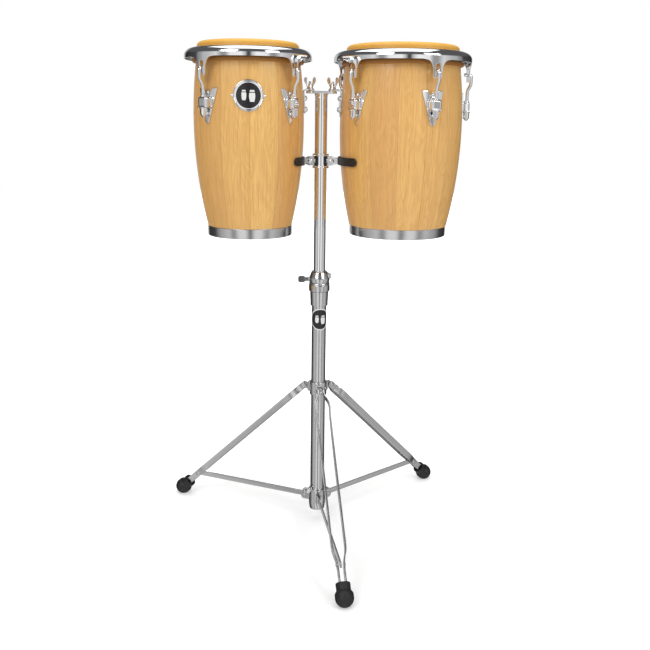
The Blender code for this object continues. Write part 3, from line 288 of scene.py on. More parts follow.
def softened(points, cut, steps=4):
    """A line whose corners are cut off by curves.

    A corner P becomes the parabola (1-t)^2 A + 2t(1-t) P + t^2 B, where A and B lie
    on its two sides, the given cut away from it or nearly half-way if that is less.
    """
    points = np.asarray(points, float)
    cut = np.broadcast_to(cut, len(points))
    line = [points[:1]]
    t = spread(0, 1, steps)[:, None]
    for before, here, after, size in zip(points, points[1:], points[2:], cut[1:]):
        back, on = before - here, after - here
        a = here + back * min(size / np.linalg.norm(back), 0.49)
        b = here + on * min(size / np.linalg.norm(on), 0.49)
        line.append((1 - t) ** 2 * a + 2 * t * (1 - t) * here + t ** 2 * b)
    line.append(points[-1:])
    return np.concatenate(line)


def arc(centre, radius, start, end, count):
    """Points of a circle's arc, angles in degrees."""
    angle = np.radians(spread(start, end, count))
    return np.stack([centre[0] + radius * np.cos(angle), centre[1] + radius * np.sin(angle)], -1)


def turned(profile, steps=96, centre=None, start=0.0, sweep=2 * pi):
    """A profile of (radius, height) turned about an upright axis.

    Point (i, j) is (x + r_i cos a_j, y + r_i sin a_j, z_i).
    """
    x, y = AXIS if centre is None else centre
    angle = start + spread(0, sweep, steps, sweep < 6.28)
    radius, height = np.asarray(profile).T
    return np.stack([x + radius[:, None] * np.cos(angle), y + radius[:, None] * np.sin(angle),
                     height[:, None] + 0 * angle], -1)


def placed(points, origin, x_axis, y_axis):
    """Points of a local frame moved to an origin, with its x and y turned as given."""
    x = np.asarray(x_axis, float) / np.linalg.norm(x_axis)
    y = np.asarray(y_axis, float) - np.dot(y_axis, x) * x
    y = y / np.linalg.norm(y)
    return np.asarray(origin) + points @ np.stack([x, y, np.cross(x, y)])


def lidded(rings):
    """Rings with both ends closed: each end ring is drawn in to its middle."""
    first = rings[:1].mean(1, keepdims=True) + 0 * rings[:1]
    last = rings[-1:].mean(1, keepdims=True) + 0 * rings[-1:]
    return np.concatenate([first, rings, last])


def bar(along, low, high, back, front, edge, across=1):
    """Sections of a flat bar, as (stations, ring, 3) of (along, width, thickness).

    At each station the section is the rectangle low..high by back..front with its
    corners rounded by the edge; at both ends it also draws in along a quarter circle.
    """
    along = np.asarray(along, float)
    sides = [np.broadcast_to(np.asarray(v, float), along.shape) for v in (low, high, back, front)]
    turn = np.radians([90.0, 60.0, 30.0, 0.0])
    near, drawn = edge * (1 - np.sin(turn)), edge * (1 - np.cos(turn))
    inner = (along > along[0] + edge * 1.01) & (along < along[-1] - edge * 1.01)
    station = np.concatenate([along[0] + near, along[inner], along[-1] - near[::-1]])
    draw = np.concatenate([drawn, np.zeros(inner.sum()), drawn[::-1]])
    low, high, back, front = [np.interp(station, along, v) for v in sides]
    low, high, back, front = low + draw, high - draw, back + draw, front - draw
    corner = np.minimum(edge, 0.49 * np.minimum(high - low, front - back))[:, None]
    t = spread(0, 1, across + 1)[1:-1]
    wide, thick = [], []
    for w, d, in_w, in_d, start in ((low, back, 1, 1, 180), (high, back, -1, 1, 270),
                                    (high, front, -1, -1, 0), (low, front, 1, -1, 90)):
        angle = np.radians(start + spread(0, 90, 4))
        wide.append(w[:, None] + corner * (in_w + np.cos(angle)))
        thick.append(d[:, None] + corner * (in_d + np.sin(angle)))
        if in_w * in_d > 0:
            run = in_w * ((high - low)[:, None] - 2 * corner)
            wide.append(wide[-1][:, -1:] + run * t)
            thick.append(thick[-1][:, -1:] + 0 * t)
    wide, thick = np.concatenate(wide, 1), np.concatenate(thick, 1)
    return np.stack([station[:, None] + 0 * wide, wide, thick], -1)


def evened(path, count, passes=0):
    """A path resampled at even steps of its length, then eased by averaging neighbours."""
    path = np.asarray(path, float)
    run = np.concatenate([[0.0], np.cumsum(np.linalg.norm(np.diff(path, axis=0), axis=1))])
    even = spread(0, run[-1], count)
    path = np.stack([np.interp(even, run, axis) for axis in path.T], -1)
    for _ in range(passes):
        path[1:-1] = (path[:-2] + 2 * path[1:-1] + path[2:]) / 4
    return path


def strand(path, radius, across, end=0.0008, sides=20):
    """A round section carried along a path that lies in one plane.

    Ring i is P_i + r (n_i cos a + b sin a), where b is the plane's normal and n_i is
    square to the path; the radius draws in along a quarter circle at both ends.
    """
    run = np.concatenate([[0.0], np.cumsum(np.linalg.norm(np.diff(path, axis=0), axis=1))])
    turn = np.radians([90.0, 60.0, 30.0, 0.0])
    near, drawn = end * (1 - np.sin(turn)), end * (1 - np.cos(turn))
    inner = run[(run > end * 1.01) & (run < run[-1] - end * 1.01)]
    station = np.concatenate([near, inner, run[-1] - near[::-1]])
    thin = radius - np.concatenate([drawn, 0 * inner, drawn[::-1]])
    path = np.stack([np.interp(station, run, axis) for axis in path.T], -1)
    ahead = np.gradient(path, axis=0)
    ahead /= np.linalg.norm(ahead, axis=1, keepdims=True)
    b = np.asarray(across, float) / np.linalg.norm(across)
    n = np.cross(b, ahead)
    n /= np.linalg.norm(n, axis=1, keepdims=True)
    angle = spread(0, 2 * pi, sides, False)[None, :, None]
    return path[:, None] + thin[:, None, None] * (n[:, None] * np.cos(angle) + b * np.sin(angle))


def dome(radius, height, sink=0.001, collar=0.0):
    """Profile of a round head: a rim, then a low cap that bulges to its height."""
    angle = np.radians(spread(0, 90, 7))
    cap = np.stack([radius * np.cos(angle), collar + (height - collar) * np.sin(angle)], -1)
    return np.concatenate([[[0.0, -sink], [radius, -sink]], cap])


def stud_on(origin, out, profile, steps=24):
    """A small turned piece whose axis points out from a place."""
    out = np.asarray(out, float)
    side = np.cross(out, [0.0, 0.0, 1.0] if abs(out[2]) < 0.9 * np.linalg.norm(out) else [1.0, 0, 0])
    points = turned(profile, steps, (0.0, 0.0))
    return placed(points, origin, side, np.cross(out, side))


def hexagon(profile, steps=48):
    """A six-sided turned profile: (half width over flats, height, roundness 0..1).

    The radius at angle a is the flats' distance over cos of the angle off the nearest
    flat, mixed with a plain circle by the roundness and cut off at the corners.
    """
    flat, height, round_off = [v[:, None] for v in np.asarray(profile, float).T]
    angle = spread(0, 2 * pi, steps, False)
    off = (angle + pi / 6) % (pi / 3) - pi / 6
    radius = np.minimum(flat / np.cos(off), flat * 1.115)
    radius = radius * (1 - round_off) + flat * round_off
    return np.stack([radius * np.cos(angle), radius * np.sin(angle), height + 0 * radius], -1)


# ---------------------------------------------------------------- meshes
def skin_of(points, wrap=True, finish=0, keep=None, uv=None):
    """One surface of a piece: its points, whether its columns close, and its finish.

    Without its own map, u and v are the lengths run along the columns and the rows.
    """
    points = np.asarray(points, float)
    rows, columns = points.shape[:2]
    around = columns if wrap else columns - 1
    i, j = np.meshgrid(np.arange(rows - 1), np.arange(around), indexing="ij")
    a, b = i * columns + j, i * columns + (j + 1) % columns
    faces = np.stack([a, b, b + columns, a + columns], -1)
    if uv is None:
        ring = np.concatenate([points, points[:, :1]], 1) if wrap else points
        u = np.linalg.norm(np.diff(ring, axis=1), axis=2).max(0)
        v = np.linalg.norm(np.diff(points, axis=0), axis=2).max(1)
        u, v = np.concatenate([[0], np.cumsum(u)]), np.concatenate([[0], np.cumsum(v)])
        uv = np.stack(np.meshgrid(u, v), -1)
    corners = np.stack([uv[i, j], uv[i, j + 1], uv[i + 1, j + 1], uv[i + 1, j]], 2)
    if keep is not None:
        faces, corners = faces[keep], corners[keep]
    return points.reshape(-1, 3), faces.reshape(-1, 4), corners.reshape(-1, 2), finish


def face_outwards(work):
    """Make the faces of each island agree, and turn over an island of negative volume."""
    bmesh.ops.recalc_face_normals(work, faces=work.faces)
    left = set(work.faces)
    while left:
        volume, island, waiting = 0.0, [], [left.pop()]
        while waiting:
            face = waiting.pop()
            island.append(face)
            volume += face.calc_center_median().dot(face.normal) * face.calc_area()
            for edge in face.edges:
                for other in edge.link_faces:
                    if other in left:
                        left.discard(other)
                        waiting.append(other)
        if volume < 0:
            bmesh.ops.reverse_faces(work, faces=island)


def piece(name, skins, finishes, body, stands_for=(), sharp=38.0, weld=2e-6, closed=True):
    """One mesh from all its surfaces, welded and turned outwards, riding on a body."""
    count, points, faces, corners, finish = 0, [], [], [], []
    for p, f, c, m in skins:
        points.append(p)
        faces.append(f + count)
        corners.append(c)
        finish.append(np.full(len(f), m))
        count += len(p)
    points, faces = np.concatenate(points), np.concatenate(faces)
    mesh = bpy.data.meshes.new(name)
    mesh.vertices.add(len(points))
    mesh.vertices.foreach_set("co", points.ravel())
    mesh.loops.add(faces.size)
    mesh.loops.foreach_set("vertex_index", faces.ravel())
    mesh.polygons.add(len(faces))
    mesh.polygons.foreach_set("loop_start", np.arange(len(faces)) * 4)
    mesh.polygons.foreach_set("material_index", np.concatenate(finish))
    mesh.update(calc_edges=True)
    chart = mesh.uv_layers.new(name="UVMap")
    chart.uv.foreach_set("vector", np.concatenate(corners).ravel())
    work = bmesh.new()
    work.from_mesh(mesh)
    bmesh.ops.remove_doubles(work, verts=work.verts, dist=weld)
    if closed:
        face_outwards(work)
    work.to_mesh(mesh)
    work.free()
    mesh.shade_smooth()
    mesh.set_sharp_from_angle(angle=radians(sharp))
    for material in finishes:
        mesh.materials.append(material)
    thing = bpy.data.objects.new(name, mesh)
    bpy.context.scene.collection.objects.link(thing)
    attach(thing, body)
    if stands_for:
        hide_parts(*stands_for)
    return thing


def thicken(thing, sheet, edge):
    """Give an open sheet its thickness, half to each side, and round its cut edges."""
    wall = thing.modifiers.new("sheet", "SOLIDIFY")
    wall.thickness = sheet
    wall.offset = 0.0
    wall.use_even_offset = True
    soft = thing.modifiers.new("cut edge", "BEVEL")
    soft.width = edge
    soft.segments = 2
    soft.limit_method = "ANGLE"
    soft.angle_limit = radians(50)


# ---------------------------------------------------------------- finishes
def group_of(name, inputs, outputs):
    """A new node group with its sockets: (name, kind, default) in, (name, kind) out."""
    tree = bpy.data.node_groups.new(name, "ShaderNodeTree")
    for label, kind, default in inputs:
        socket = tree.interface.new_socket(name=label, in_out="INPUT", socket_type=kind)
        if default is not None:
            socket.default_value = default
    for label, kind in outputs:
        tree.interface.new_socket(name=label, in_out="OUTPUT", socket_type=kind)
    return tree, tree.nodes.new("NodeGroupInput").outputs, tree.nodes.new("NodeGroupOutput").inputs


def feed(tree, socket, value):
    """Link a socket to another, or set its value."""
    if isinstance(value, bpy.types.NodeSocket):
        tree.links.new(value, socket)
    elif value is not None:
        socket.default_value = value


def add(tree, kind, *values, **settings):
    """A node with its inputs fed in order or by name; settings are its own options."""
    named = settings.pop("inputs", {})
    node = tree.nodes.new("ShaderNode" + kind)
    for key, value in settings.items():
        setattr(node, key, value)
    for socket, value in zip(node.inputs, values):
        feed(tree, socket, value)
    for key, value in named.items():
        feed(tree, node.inputs[key], value)
    return node


def maths(tree, operation, *values):
    """A Math node's result."""
    return add(tree, "Math", *values, operation=operation).outputs[0]


def ranged(tree, value, low, high, to_low=0.0, to_high=1.0):
    """A value moved from one range to another, clamped and eased."""
    return add(tree, "MapRange", value, low, high, to_low, to_high,
               interpolation_type="SMOOTHSTEP").outputs[0]


def noise(tree, where, scale, detail=3.0, rough=0.5, distortion=0.0):
    """A fractal noise value at a place."""
    return add(tree, "TexNoise", inputs={"Vector": where, "Scale": scale, "Detail": detail,
                                         "Roughness": rough, "Distortion": distortion}).outputs[0]


def mixed(tree, share, first, second, blend="MIX"):
    """Two colours mixed by a share."""
    node = add(tree, "Mix", data_type="RGBA", blend_type=blend)
    feed(tree, node.inputs[0], share)
    for socket, value in ((node.inputs[6], first), (node.inputs[7], second)):
        feed(tree, socket, (*value, 1.0) if isinstance(value, (tuple, list)) else value)
    return node.outputs[2]


def stave_group():
    """Grain of bent staves from a map of (stave number, height in stave widths)."""
    tree, given, out = group_of("Stave grain", [
        ("Map", "NodeSocketVector", None), ("Seed", "NodeSocketFloat", 0.0)],
        [("Tone", "NodeSocketFloat"), ("Fibre", "NodeSocketFloat"), ("Figure", "NodeSocketFloat"),
         ("Pores", "NodeSocketFloat"), ("Seam", "NodeSocketFloat"), ("Pink", "NodeSocketFloat")])
    parts = add(tree, "SeparateXYZ", given["Map"]).outputs
    number = maths(tree, "FLOOR", parts[0])
    across = maths(tree, "FRACT", parts[0])
    seeded = maths(tree, "ADD", number, given["Seed"])
    chance = add(tree, "TexWhiteNoise", noise_dimensions="1D",
                 inputs={"W": seeded}).outputs
    feed(tree, out["Tone"], chance[0])
    tint = add(tree, "SeparateColor", chance[1]).outputs
    feed(tree, out["Pink"], tint[1])
    depth = maths(tree, "MULTIPLY", chance[0], 37.0)
    drift = noise(tree, add(tree, "CombineXYZ", 0.0, parts[1], depth).outputs[0], 0.55, 2.0)
    bent = maths(tree, "ADD", across, maths(tree, "MULTIPLY", drift, 0.24))

    def streaks(wide, tall, detail, rough, wobble=0.0):
        place = add(tree, "CombineXYZ", maths(tree, "MULTIPLY", bent, wide),
                    maths(tree, "MULTIPLY", parts[1], tall), depth).outputs[0]
        return noise(tree, place, 1.0, detail, rough, wobble)

    feed(tree, out["Fibre"], ranged(tree, streaks(30.0, 0.42, 4.0, 0.62), 0.34, 0.74))
    arches = streaks(2.3, 0.34, 2.0, 0.45, 0.6)
    rings = maths(tree, "SINE", maths(tree, "MULTIPLY", arches, 62.0))
    feed(tree, out["Figure"], ranged(tree, rings, -0.9, 1.0))
    feed(tree, out["Pores"], ranged(tree, streaks(85.0, 2.4, 2.0, 0.5), 0.62, 0.74))
    edge = maths(tree, "ABSOLUTE", maths(tree, "SUBTRACT", across, 0.5))
    feed(tree, out["Seam"], ranged(tree, edge, 0.4925, 0.4985))
    return tree


def handling_group():
    """Haze of handling, fine scratches and slow waves of a polished plate."""
    tree, given, out = group_of("Handled plate", [
        ("Place", "NodeSocketVector", None), ("Size", "NodeSocketFloat", 1.0)],
        [("Haze", "NodeSocketFloat"), ("Scratch", "NodeSocketFloat"), ("Wave", "NodeSocketFloat")])
    broad = noise(tree, given["Place"], maths(tree, "MULTIPLY", given["Size"], 42.0), 4.0, 0.6)
    feed(tree, out["Haze"], ranged(tree, broad, 0.46, 0.72))
    thin = []
    for turn in (0.4, 1.9):
        lay = add(tree, "Mapping", given["Place"], inputs={
            "Rotation": (turn, turn * 0.7, turn), "Scale": (1.0, 26.0, 9.0)}).outputs[0]
        fine = noise(tree, lay, maths(tree, "MULTIPLY", given["Size"], 60.0), 2.0, 0.5)
        thin.append(ranged(tree, fine, 0.70, 0.76))
    feed(tree, out["Scratch"], maths(tree, "MAXIMUM", *thin))
    feed(tree, out["Wave"], noise(tree, given["Place"], maths(tree, "MULTIPLY", given["Size"], 16.0), 1.0))
    return tree


def brushed_group():
    """Drawn lines of plated steel along the second axis of a piece's own map."""
    tree, given, out = group_of("Drawn steel", [
        ("Map", "NodeSocketVector", None), ("Fineness", "NodeSocketFloat", 1.0)],
        [("Line", "NodeSocketFloat"), ("Cloud", "NodeSocketFloat")])
    lay = add(tree, "Mapping", given["Map"], inputs={"Scale": (900.0, 5.0, 1.0)}).outputs[0]
    feed(tree, out["Line"], noise(tree, lay, given["Fineness"], 3.0, 0.6))
    feed(tree, out["Cloud"], ranged(tree, noise(tree, given["Map"], 55.0, 4.0, 0.6), 0.35, 0.70))
    return tree


def mottle_group():
    """Two sizes of soft mottling and a fine grit, for hide and moulded rubber."""
    tree, given, out = group_of("Mottle", [
        ("Place", "NodeSocketVector", None), ("Size", "NodeSocketFloat", 30.0)],
        [("Cloud", "NodeSocketFloat"), ("Vein", "NodeSocketFloat"), ("Grit", "NodeSocketFloat")])
    feed(tree, out["Cloud"], ranged(tree, noise(tree, given["Place"], given["Size"], 4.0, 0.6), 0.30, 0.72))
    fine = noise(tree, given["Place"], maths(tree, "MULTIPLY", given["Size"], 4.0), 5.0, 0.65, 0.8)
    feed(tree, out["Vein"], ranged(tree, fine, 0.40, 0.70))
    tiny = maths(tree, "MULTIPLY", given["Size"], 45.0)
    feed(tree, out["Grit"], noise(tree, given["Place"], tiny, 2.0, 0.6))
    return tree


def shared(name, maker):
    """A node group that is made once and placed in each material."""
    return bpy.data.node_groups.get(name) or maker()


def effect(tree, name, maker, *values):
    """One placing of a shared node group; gives its outputs."""
    node = tree.nodes.new("ShaderNodeGroup")
    node.node_tree = shared(name, maker)
    for socket, value in zip(node.inputs, values):
        feed(tree, socket, value)
    return node.outputs


def blank(name, **values):
    """A new material with set values, as (material, tree, the shader's inputs)."""
    material = bpy.data.materials.new(name)
    material.use_nodes = True
    tree = material.node_tree
    shader = tree.nodes["Principled BSDF"].inputs
    for key, value in values.items():
        feed(tree, shader[key.replace("_", " ")], value)
    return material, tree, shader


def place_of(tree, kind="Object"):
    """Object coordinates or the piece's own map."""
    return add(tree, "TexCoord").outputs[kind]


def bumped(tree, shader, height, strength, distance):
    """A bump from a height on the shader's normal."""
    node = add(tree, "Bump", inputs={"Height": height, "Strength": strength, "Distance": distance})
    feed(tree, shader["Normal"], node.outputs[0])


def once(maker):
    """A finish that is built the first time it is asked for."""
    made = {}

    def ask(*values):
        if values not in made:
            made[values] = maker(*values)
        return made[values]

    return ask


@once
def lacquered_wood(seed, lacquered=True):
    """Pale golden staves: fibres, arched figure, pores and seams under satin lacquer."""
    look = bpy.context.scene.conga_drums
    pale, deep = tuple(look.wood_pale), tuple(look.wood_deep)
    material, tree, shader = blank("Lacquered staves" if lacquered else "Bare staves")
    grain = effect(tree, "Stave grain", stave_group, place_of(tree, "UV"), seed)
    tone = ranged(tree, grain["Tone"], 0.0, 1.0, 0.0, 0.52)
    base = mixed(tree, tone, pale, deep)
    rosy = (pale[0] * 0.93, pale[1] * 0.84, pale[2] * 0.92)
    base = mixed(tree, ranged(tree, grain["Pink"], 0.2, 1.0, 0.0, 0.80), base, rosy)
    base = mixed(tree, maths(tree, "MULTIPLY", grain["Fibre"], 0.46), base, deep)
    base = mixed(tree, maths(tree, "MULTIPLY", grain["Figure"], 0.20), base, deep)
    dark = tuple(v * 0.55 for v in deep)
    base = mixed(tree, maths(tree, "MULTIPLY", grain["Pores"], 0.55), base, dark)
    base = mixed(tree, maths(tree, "MULTIPLY", grain["Seam"], 0.70), base, dark)
    mottle = effect(tree, "Mottle", mottle_group, place_of(tree), 14.0)
    base = mixed(tree, maths(tree, "MULTIPLY", mottle["Cloud"], 0.10), base, deep)
    feed(tree, shader["Base Color"], base)
    rough = ranged(tree, grain["Fibre"], 0.0, 1.0, 0.36 if lacquered else 0.62, 0.50 if lacquered else 0.80)
    feed(tree, shader["Roughness"], rough)
    shader["IOR"].default_value = 1.45
    height = maths(tree, "SUBTRACT", maths(tree, "MULTIPLY", grain["Fibre"], 0.25),
                   maths(tree, "ADD", grain["Seam"], maths(tree, "MULTIPLY", grain["Pores"], 0.5)))
    bumped(tree, shader, height, 0.35 if lacquered else 0.7, 0.0002)
    if lacquered:
        shader["Coat Roughness"].default_value = 0.16
        shader["Coat IOR"].default_value = 1.5
        coat = ranged(tree, mottle["Vein"], 0.0, 1.0, 0.40, 0.26)
        feed(tree, shader["Coat Weight"], coat)
    return material


@once
def rawhide():
    """Amber hide, scraped smooth, with clouds, faint veins, a low sheen and painted shade on the shoulder
    and hoop under the rim.
    """
    look = bpy.context.scene.conga_drums
    skin = tuple(look.skin)
    material, tree, shader = blank("Amber rawhide")
    mottle = effect(tree, "Mottle", mottle_group, place_of(tree), 22.0)
    base = mixed(tree, maths(tree, "MULTIPLY", mottle["Cloud"], 0.34), skin,
                 (skin[0] * 0.80, skin[1] * 0.68, skin[2] * 0.52))
    base = mixed(tree, maths(tree, "MULTIPLY", mottle["Vein"], 0.22), base,
                 (min(skin[0] * 1.12, 1.0), skin[1] * 1.16, skin[2] * 1.3))
    height = add(tree, "SeparateXYZ", place_of(tree)).outputs[2]
    # Painted shade: the shoulder below the crown is darkened by height towards the rim, as if the rim
    # shaded it.
    side = ranged(tree, height, HEAD_TOP - 0.009, HEAD_TOP - 0.001, 0.45, 0.0)
    base = mixed(tree, side, base, (skin[0] * 0.62, skin[1] * 0.42, skin[2] * 0.30))
    # Painted shade: the hoop and skirt under the rim are darkened brown to stand in for the rim's shadow.
    hoop = ranged(tree, height, HEAD_TOP - 0.030, HEAD_TOP - 0.022, 0.85, 0.0)
    base = mixed(tree, hoop, base, (skin[0] * 0.34, skin[1] * 0.22, skin[2] * 0.20))
    feed(tree, shader["Base Color"], base)
    feed(tree, shader["Roughness"], ranged(tree, mottle["Vein"], 0.0, 1.0, 0.44, 0.58))
    shader["Subsurface Weight"].default_value = 0.08
    shader["Subsurface Radius"].default_value = (0.004, 0.002, 0.0008)
    bumped(tree, shader, maths(tree, "ADD", mottle["Grit"], maths(tree, "MULTIPLY", mottle["Vein"], 0.8)),
           0.25, 0.0003)
    return material


@once
def bright_chrome():
    """Bright plate with a little haze, hairline scratches and slow waves."""
    look = bpy.context.scene.conga_hardware
    tint, rough = tuple(look.chrome), look.chrome_roughness
    material, tree, shader = blank("Bright chrome", Metallic=1.0)
    worn = effect(tree, "Handled plate", handling_group, place_of(tree), 1.0)
    base = mixed(tree, maths(tree, "MULTIPLY", worn["Haze"], 0.10), tint,
                 tuple(v * 0.80 for v in tint))
    feed(tree, shader["Base Color"], base)
    hazy = maths(tree, "MULTIPLY", worn["Haze"], 0.07)
    hazy = maths(tree, "ADD", hazy, maths(tree, "MULTIPLY", worn["Scratch"], 0.06))
    feed(tree, shader["Roughness"], maths(tree, "ADD", hazy, rough))
    bumped(tree, shader, maths(tree, "ADD", worn["Wave"], maths(tree, "MULTIPLY", worn["Scratch"], -0.02)),
           0.12, 0.0009)
    return material


@once
def plated_steel():
    """Satin plate with drawn lines along each piece and cloudy haze."""
    look = bpy.context.scene.conga_stand
    tint, rough = tuple(look.steel), look.steel_roughness
    material, tree, shader = blank("Satin plated steel", Metallic=1.0)
    drawn = effect(tree, "Drawn steel", brushed_group, place_of(tree, "UV"), 1.0)
    worn = effect(tree, "Handled plate", handling_group, place_of(tree), 0.8)
    base = mixed(tree, maths(tree, "MULTIPLY", drawn["Cloud"], 0.06), tint,
                 tuple(v * 0.78 for v in tint))
    base = mixed(tree, maths(tree, "MULTIPLY", worn["Scratch"], 0.08), base, (0.82, 0.82, 0.82))
    feed(tree, shader["Base Color"], base)
    blur = maths(tree, "ADD", maths(tree, "MULTIPLY", drawn["Line"], 0.05),
                 maths(tree, "MULTIPLY", worn["Haze"], 0.05))
    feed(tree, shader["Roughness"], maths(tree, "ADD", blur, rough - 0.06))
    bumped(tree, shader, drawn["Line"], 0.05, 0.00003)
    return material


@once
def moulded_rubber():
    """Black rubber with a fine grit, dusty patches and scuffs."""
    look = bpy.context.scene.conga_stand
    tint = tuple(look.rubber)
    material, tree, shader = blank("Moulded rubber")
    mottle = effect(tree, "Mottle", mottle_group, place_of(tree), 60.0)
    base = mixed(tree, maths(tree, "MULTIPLY", mottle["Cloud"], 0.5), tint, (0.020, 0.020, 0.020))
    base = mixed(tree, maths(tree, "MULTIPLY", mottle["Vein"], 0.20), base, (0.045, 0.044, 0.042))
    feed(tree, shader["Base Color"], base)
    feed(tree, shader["Roughness"], ranged(tree, mottle["Vein"], 0.0, 1.0, 0.46, 0.68))
    bumped(tree, shader, mottle["Grit"], 0.35, 0.00018)
    return material


@once
def enamel(name, tint, rough):
    """Printed enamel with a slight orange-peel surface."""
    material, tree, shader = blank(name)
    mottle = effect(tree, "Mottle", mottle_group, place_of(tree), 90.0)
    feed(tree, shader["Base Color"], mixed(tree, maths(tree, "MULTIPLY", mottle["Cloud"], 0.12), tint,
                                           tuple(v * 0.75 + 0.01 for v in tint)))
    feed(tree, shader["Roughness"], ranged(tree, mottle["Vein"], 0.0, 1.0, rough, rough + 0.12))
    bumped(tree, shader, mottle["Cloud"], 0.08, 0.0001)
    return material


@once
def dark_metal(name, pale, deep):
    """A darker plate, cloudy between two tints: the zinc of a bolt or a dark chrome."""
    material, tree, shader = blank(name, Metallic=1.0)
    worn = effect(tree, "Handled plate", handling_group, place_of(tree), 2.0)
    feed(tree, shader["Base Color"], mixed(tree, worn["Haze"], pale, deep))
    feed(tree, shader["Roughness"], ranged(tree, worn["Haze"], 0.0, 1.0, 0.16, 0.36))
    return material


# ---------------------------------------------------------------- drums
def stave_shell(drum):
    """Closed wall of staves: the outside goes down from the bearing edge, the inside up.

    Radius over height is the arc of Drum.stave; u counts staves round the drum and
    v is the height in stave widths, so the grain keeps its scale.
    """
    step = DRUM_BOTTOM + BAND_HEIGHT + GAP
    low = DRUM_BOTTOM + BAND_THICK + GAP
    edge = arc((drum.neck - BEARING_ROUND, drum.neck_z), BEARING_ROUND, 90, 0, 9)
    z = spread(drum.neck_z, step, 90)[1:]
    outside = np.concatenate([edge, np.stack([drum.stave(z), z], -1),
                              [[drum.foot, step], [drum.foot, low]]])
    inner = spread(step, drum.neck_z, 60)
    inside = np.concatenate([[[drum.foot, low], [drum.foot - WALL, low]],
                             np.stack([drum.stave(inner) - WALL, inner], -1), edge[:1]])
    steps = drum.staves * 24
    width = 2 * pi * drum.belly / drum.staves
    skins = []
    for profile, finish in ((outside, 0), (inside, 1)):
        u = spread(0, drum.staves, steps + 1)
        v = profile[:, 1] / width
        skins.append(skin_of(turned(profile, steps, drum.centre), True, finish,
                             uv=np.stack(np.meshgrid(u, v), -1)))
    seed = 3.0 if drum.side == "left" else 41.0
    piece(drum.side + "_staves", skins, [lacquered_wood(seed), lacquered_wood(seed, False)],
          "post_and_drums", (drum.side + "_shell",), sharp=50)


def foot_band(drum):
    """Steel band round the foot: an upright wall with a lip turned in under the shell."""
    inside = drum.foot + GAP
    outside = inside + BAND_THICK
    low, high = DRUM_BOTTOM, DRUM_BOTTOM + BAND_HEIGHT
    profile = softened([(inside, high - 0.0007), (inside, high), (outside, high),
                        (outside + 0.0001, (low + high) / 2), (outside, low),
                        (inside - 0.004, low), (inside - 0.004, low + BAND_THICK),
                        (inside, low + BAND_THICK), (inside, high - 0.0007)],
                       [0, 0.0004, 0.0006, 0.001, 0.0016, 0.0005, 0.0005, 0.0005, 0], 5)
    seam_at = drum.centre + outside * np.array([sin(0.34), -cos(0.34)])
    bead = bar(spread(low + 0.0018, high - 0.0008, 6), -0.0008, 0.0008, -0.0006, 0.0003, 0.0003)
    bead = placed(bead, (*seam_at, 0.0), (0, 0, 1), (cos(0.34), sin(0.34), 0))
    piece(drum.side + "_foot_band", [skin_of(turned(profile, 192, drum.centre)),
                                     skin_of(lidded(bead))],
          [plated_steel()], "post_and_drums", (drum.side + "_bottom_band",))


def drum_head(drum):
    """Rawhide: a flat crown, a rounded shoulder, a skirt down the staves and a wrapped hoop.

    The profile is the flat, an arc over the bearing edge, the stave's own line under the
    skin and a round-cornered hoop; the inside runs back one skin thickness below.
    """
    low = HEAD_TOP - SKIRT
    high = low + HOOP_HEIGHT
    middle_of = (drum.neck - BEARING_ROUND, drum.neck_z)
    top = arc(middle_of, BEARING_ROUND + GAP + SKIN, 90, 0, 14)
    wall = spread(drum.neck_z, high, 10)[1:]
    hoop_out = drum.stave(low) + GAP + SKIN + HOOP_OUT
    hoop = softened([(drum.stave(high) + GAP + SKIN, high), (hoop_out, high), (hoop_out, low),
                     (drum.stave(low) + GAP, low)], [0, 0.003, 0.003, 0], 6)
    crown = np.stack([spread(0, middle_of[0], 14)[:-1], np.full(13, HEAD_TOP)], -1)
    outer = np.concatenate([crown, top, np.stack([drum.stave(wall) + GAP + SKIN, wall], -1), hoop[1:]])
    back = spread(low, drum.neck_z, 12)
    under = arc(middle_of, BEARING_ROUND + GAP, 0, 90, 8)
    inner = np.concatenate([np.stack([drum.stave(back) + GAP, back], -1), under,
                            [[0.0, HEAD_TOP - SKIN]]])
    piece(drum.side + "_rawhide", [skin_of(turned(np.concatenate([outer, inner]), 192, drum.centre))],
          [rawhide()], drum.side + "_tension_set", (drum.side + "_head",), sharp=60)


def ear_low(x):
    """How far below the head the rim's sheet ends, at x along the rim from a lug.

    Past the ear it is the lip.  The ear's side is a quarter circle swept from its
    broad root to its narrow end, then nearly straight down, and its end has a notch.
    """
    x = np.abs(x)
    sweep = EAR_TOP_HALF - EAR_HALF
    share = np.clip(1 - (x - EAR_HALF) / sweep, 0, 1)
    side = RIM_LIP_DROP + 0.001 + 0.020 * (1 - np.sqrt(1 - share ** 2))
    root = np.interp(x, [EAR_TOP_HALF, EAR_TOP_HALF + 0.006], [0.001, 0.0])
    drop = np.where(x < EAR_TOP_HALF, side, RIM_LIP_DROP + root)
    straight = np.interp(x, [EAR_HALF - 0.0012, EAR_HALF], [EAR_DROP - 0.0010, RIM_LIP_DROP + 0.021])
    drop = np.where(x < EAR_HALF, straight, drop)
    end = np.interp(x, [0.0, EAR_NOTCH_HALF - 0.0005, EAR_NOTCH_HALF + 0.0005, EAR_HALF - 0.0030,
                        EAR_HALF - 0.0012],
                    [EAR_DROP - EAR_NOTCH_DEPTH, EAR_DROP - 0.0028, EAR_DROP, EAR_DROP,
                     EAR_DROP - 0.0010])
    return np.where(x < EAR_HALF - 0.0012, end, drop)


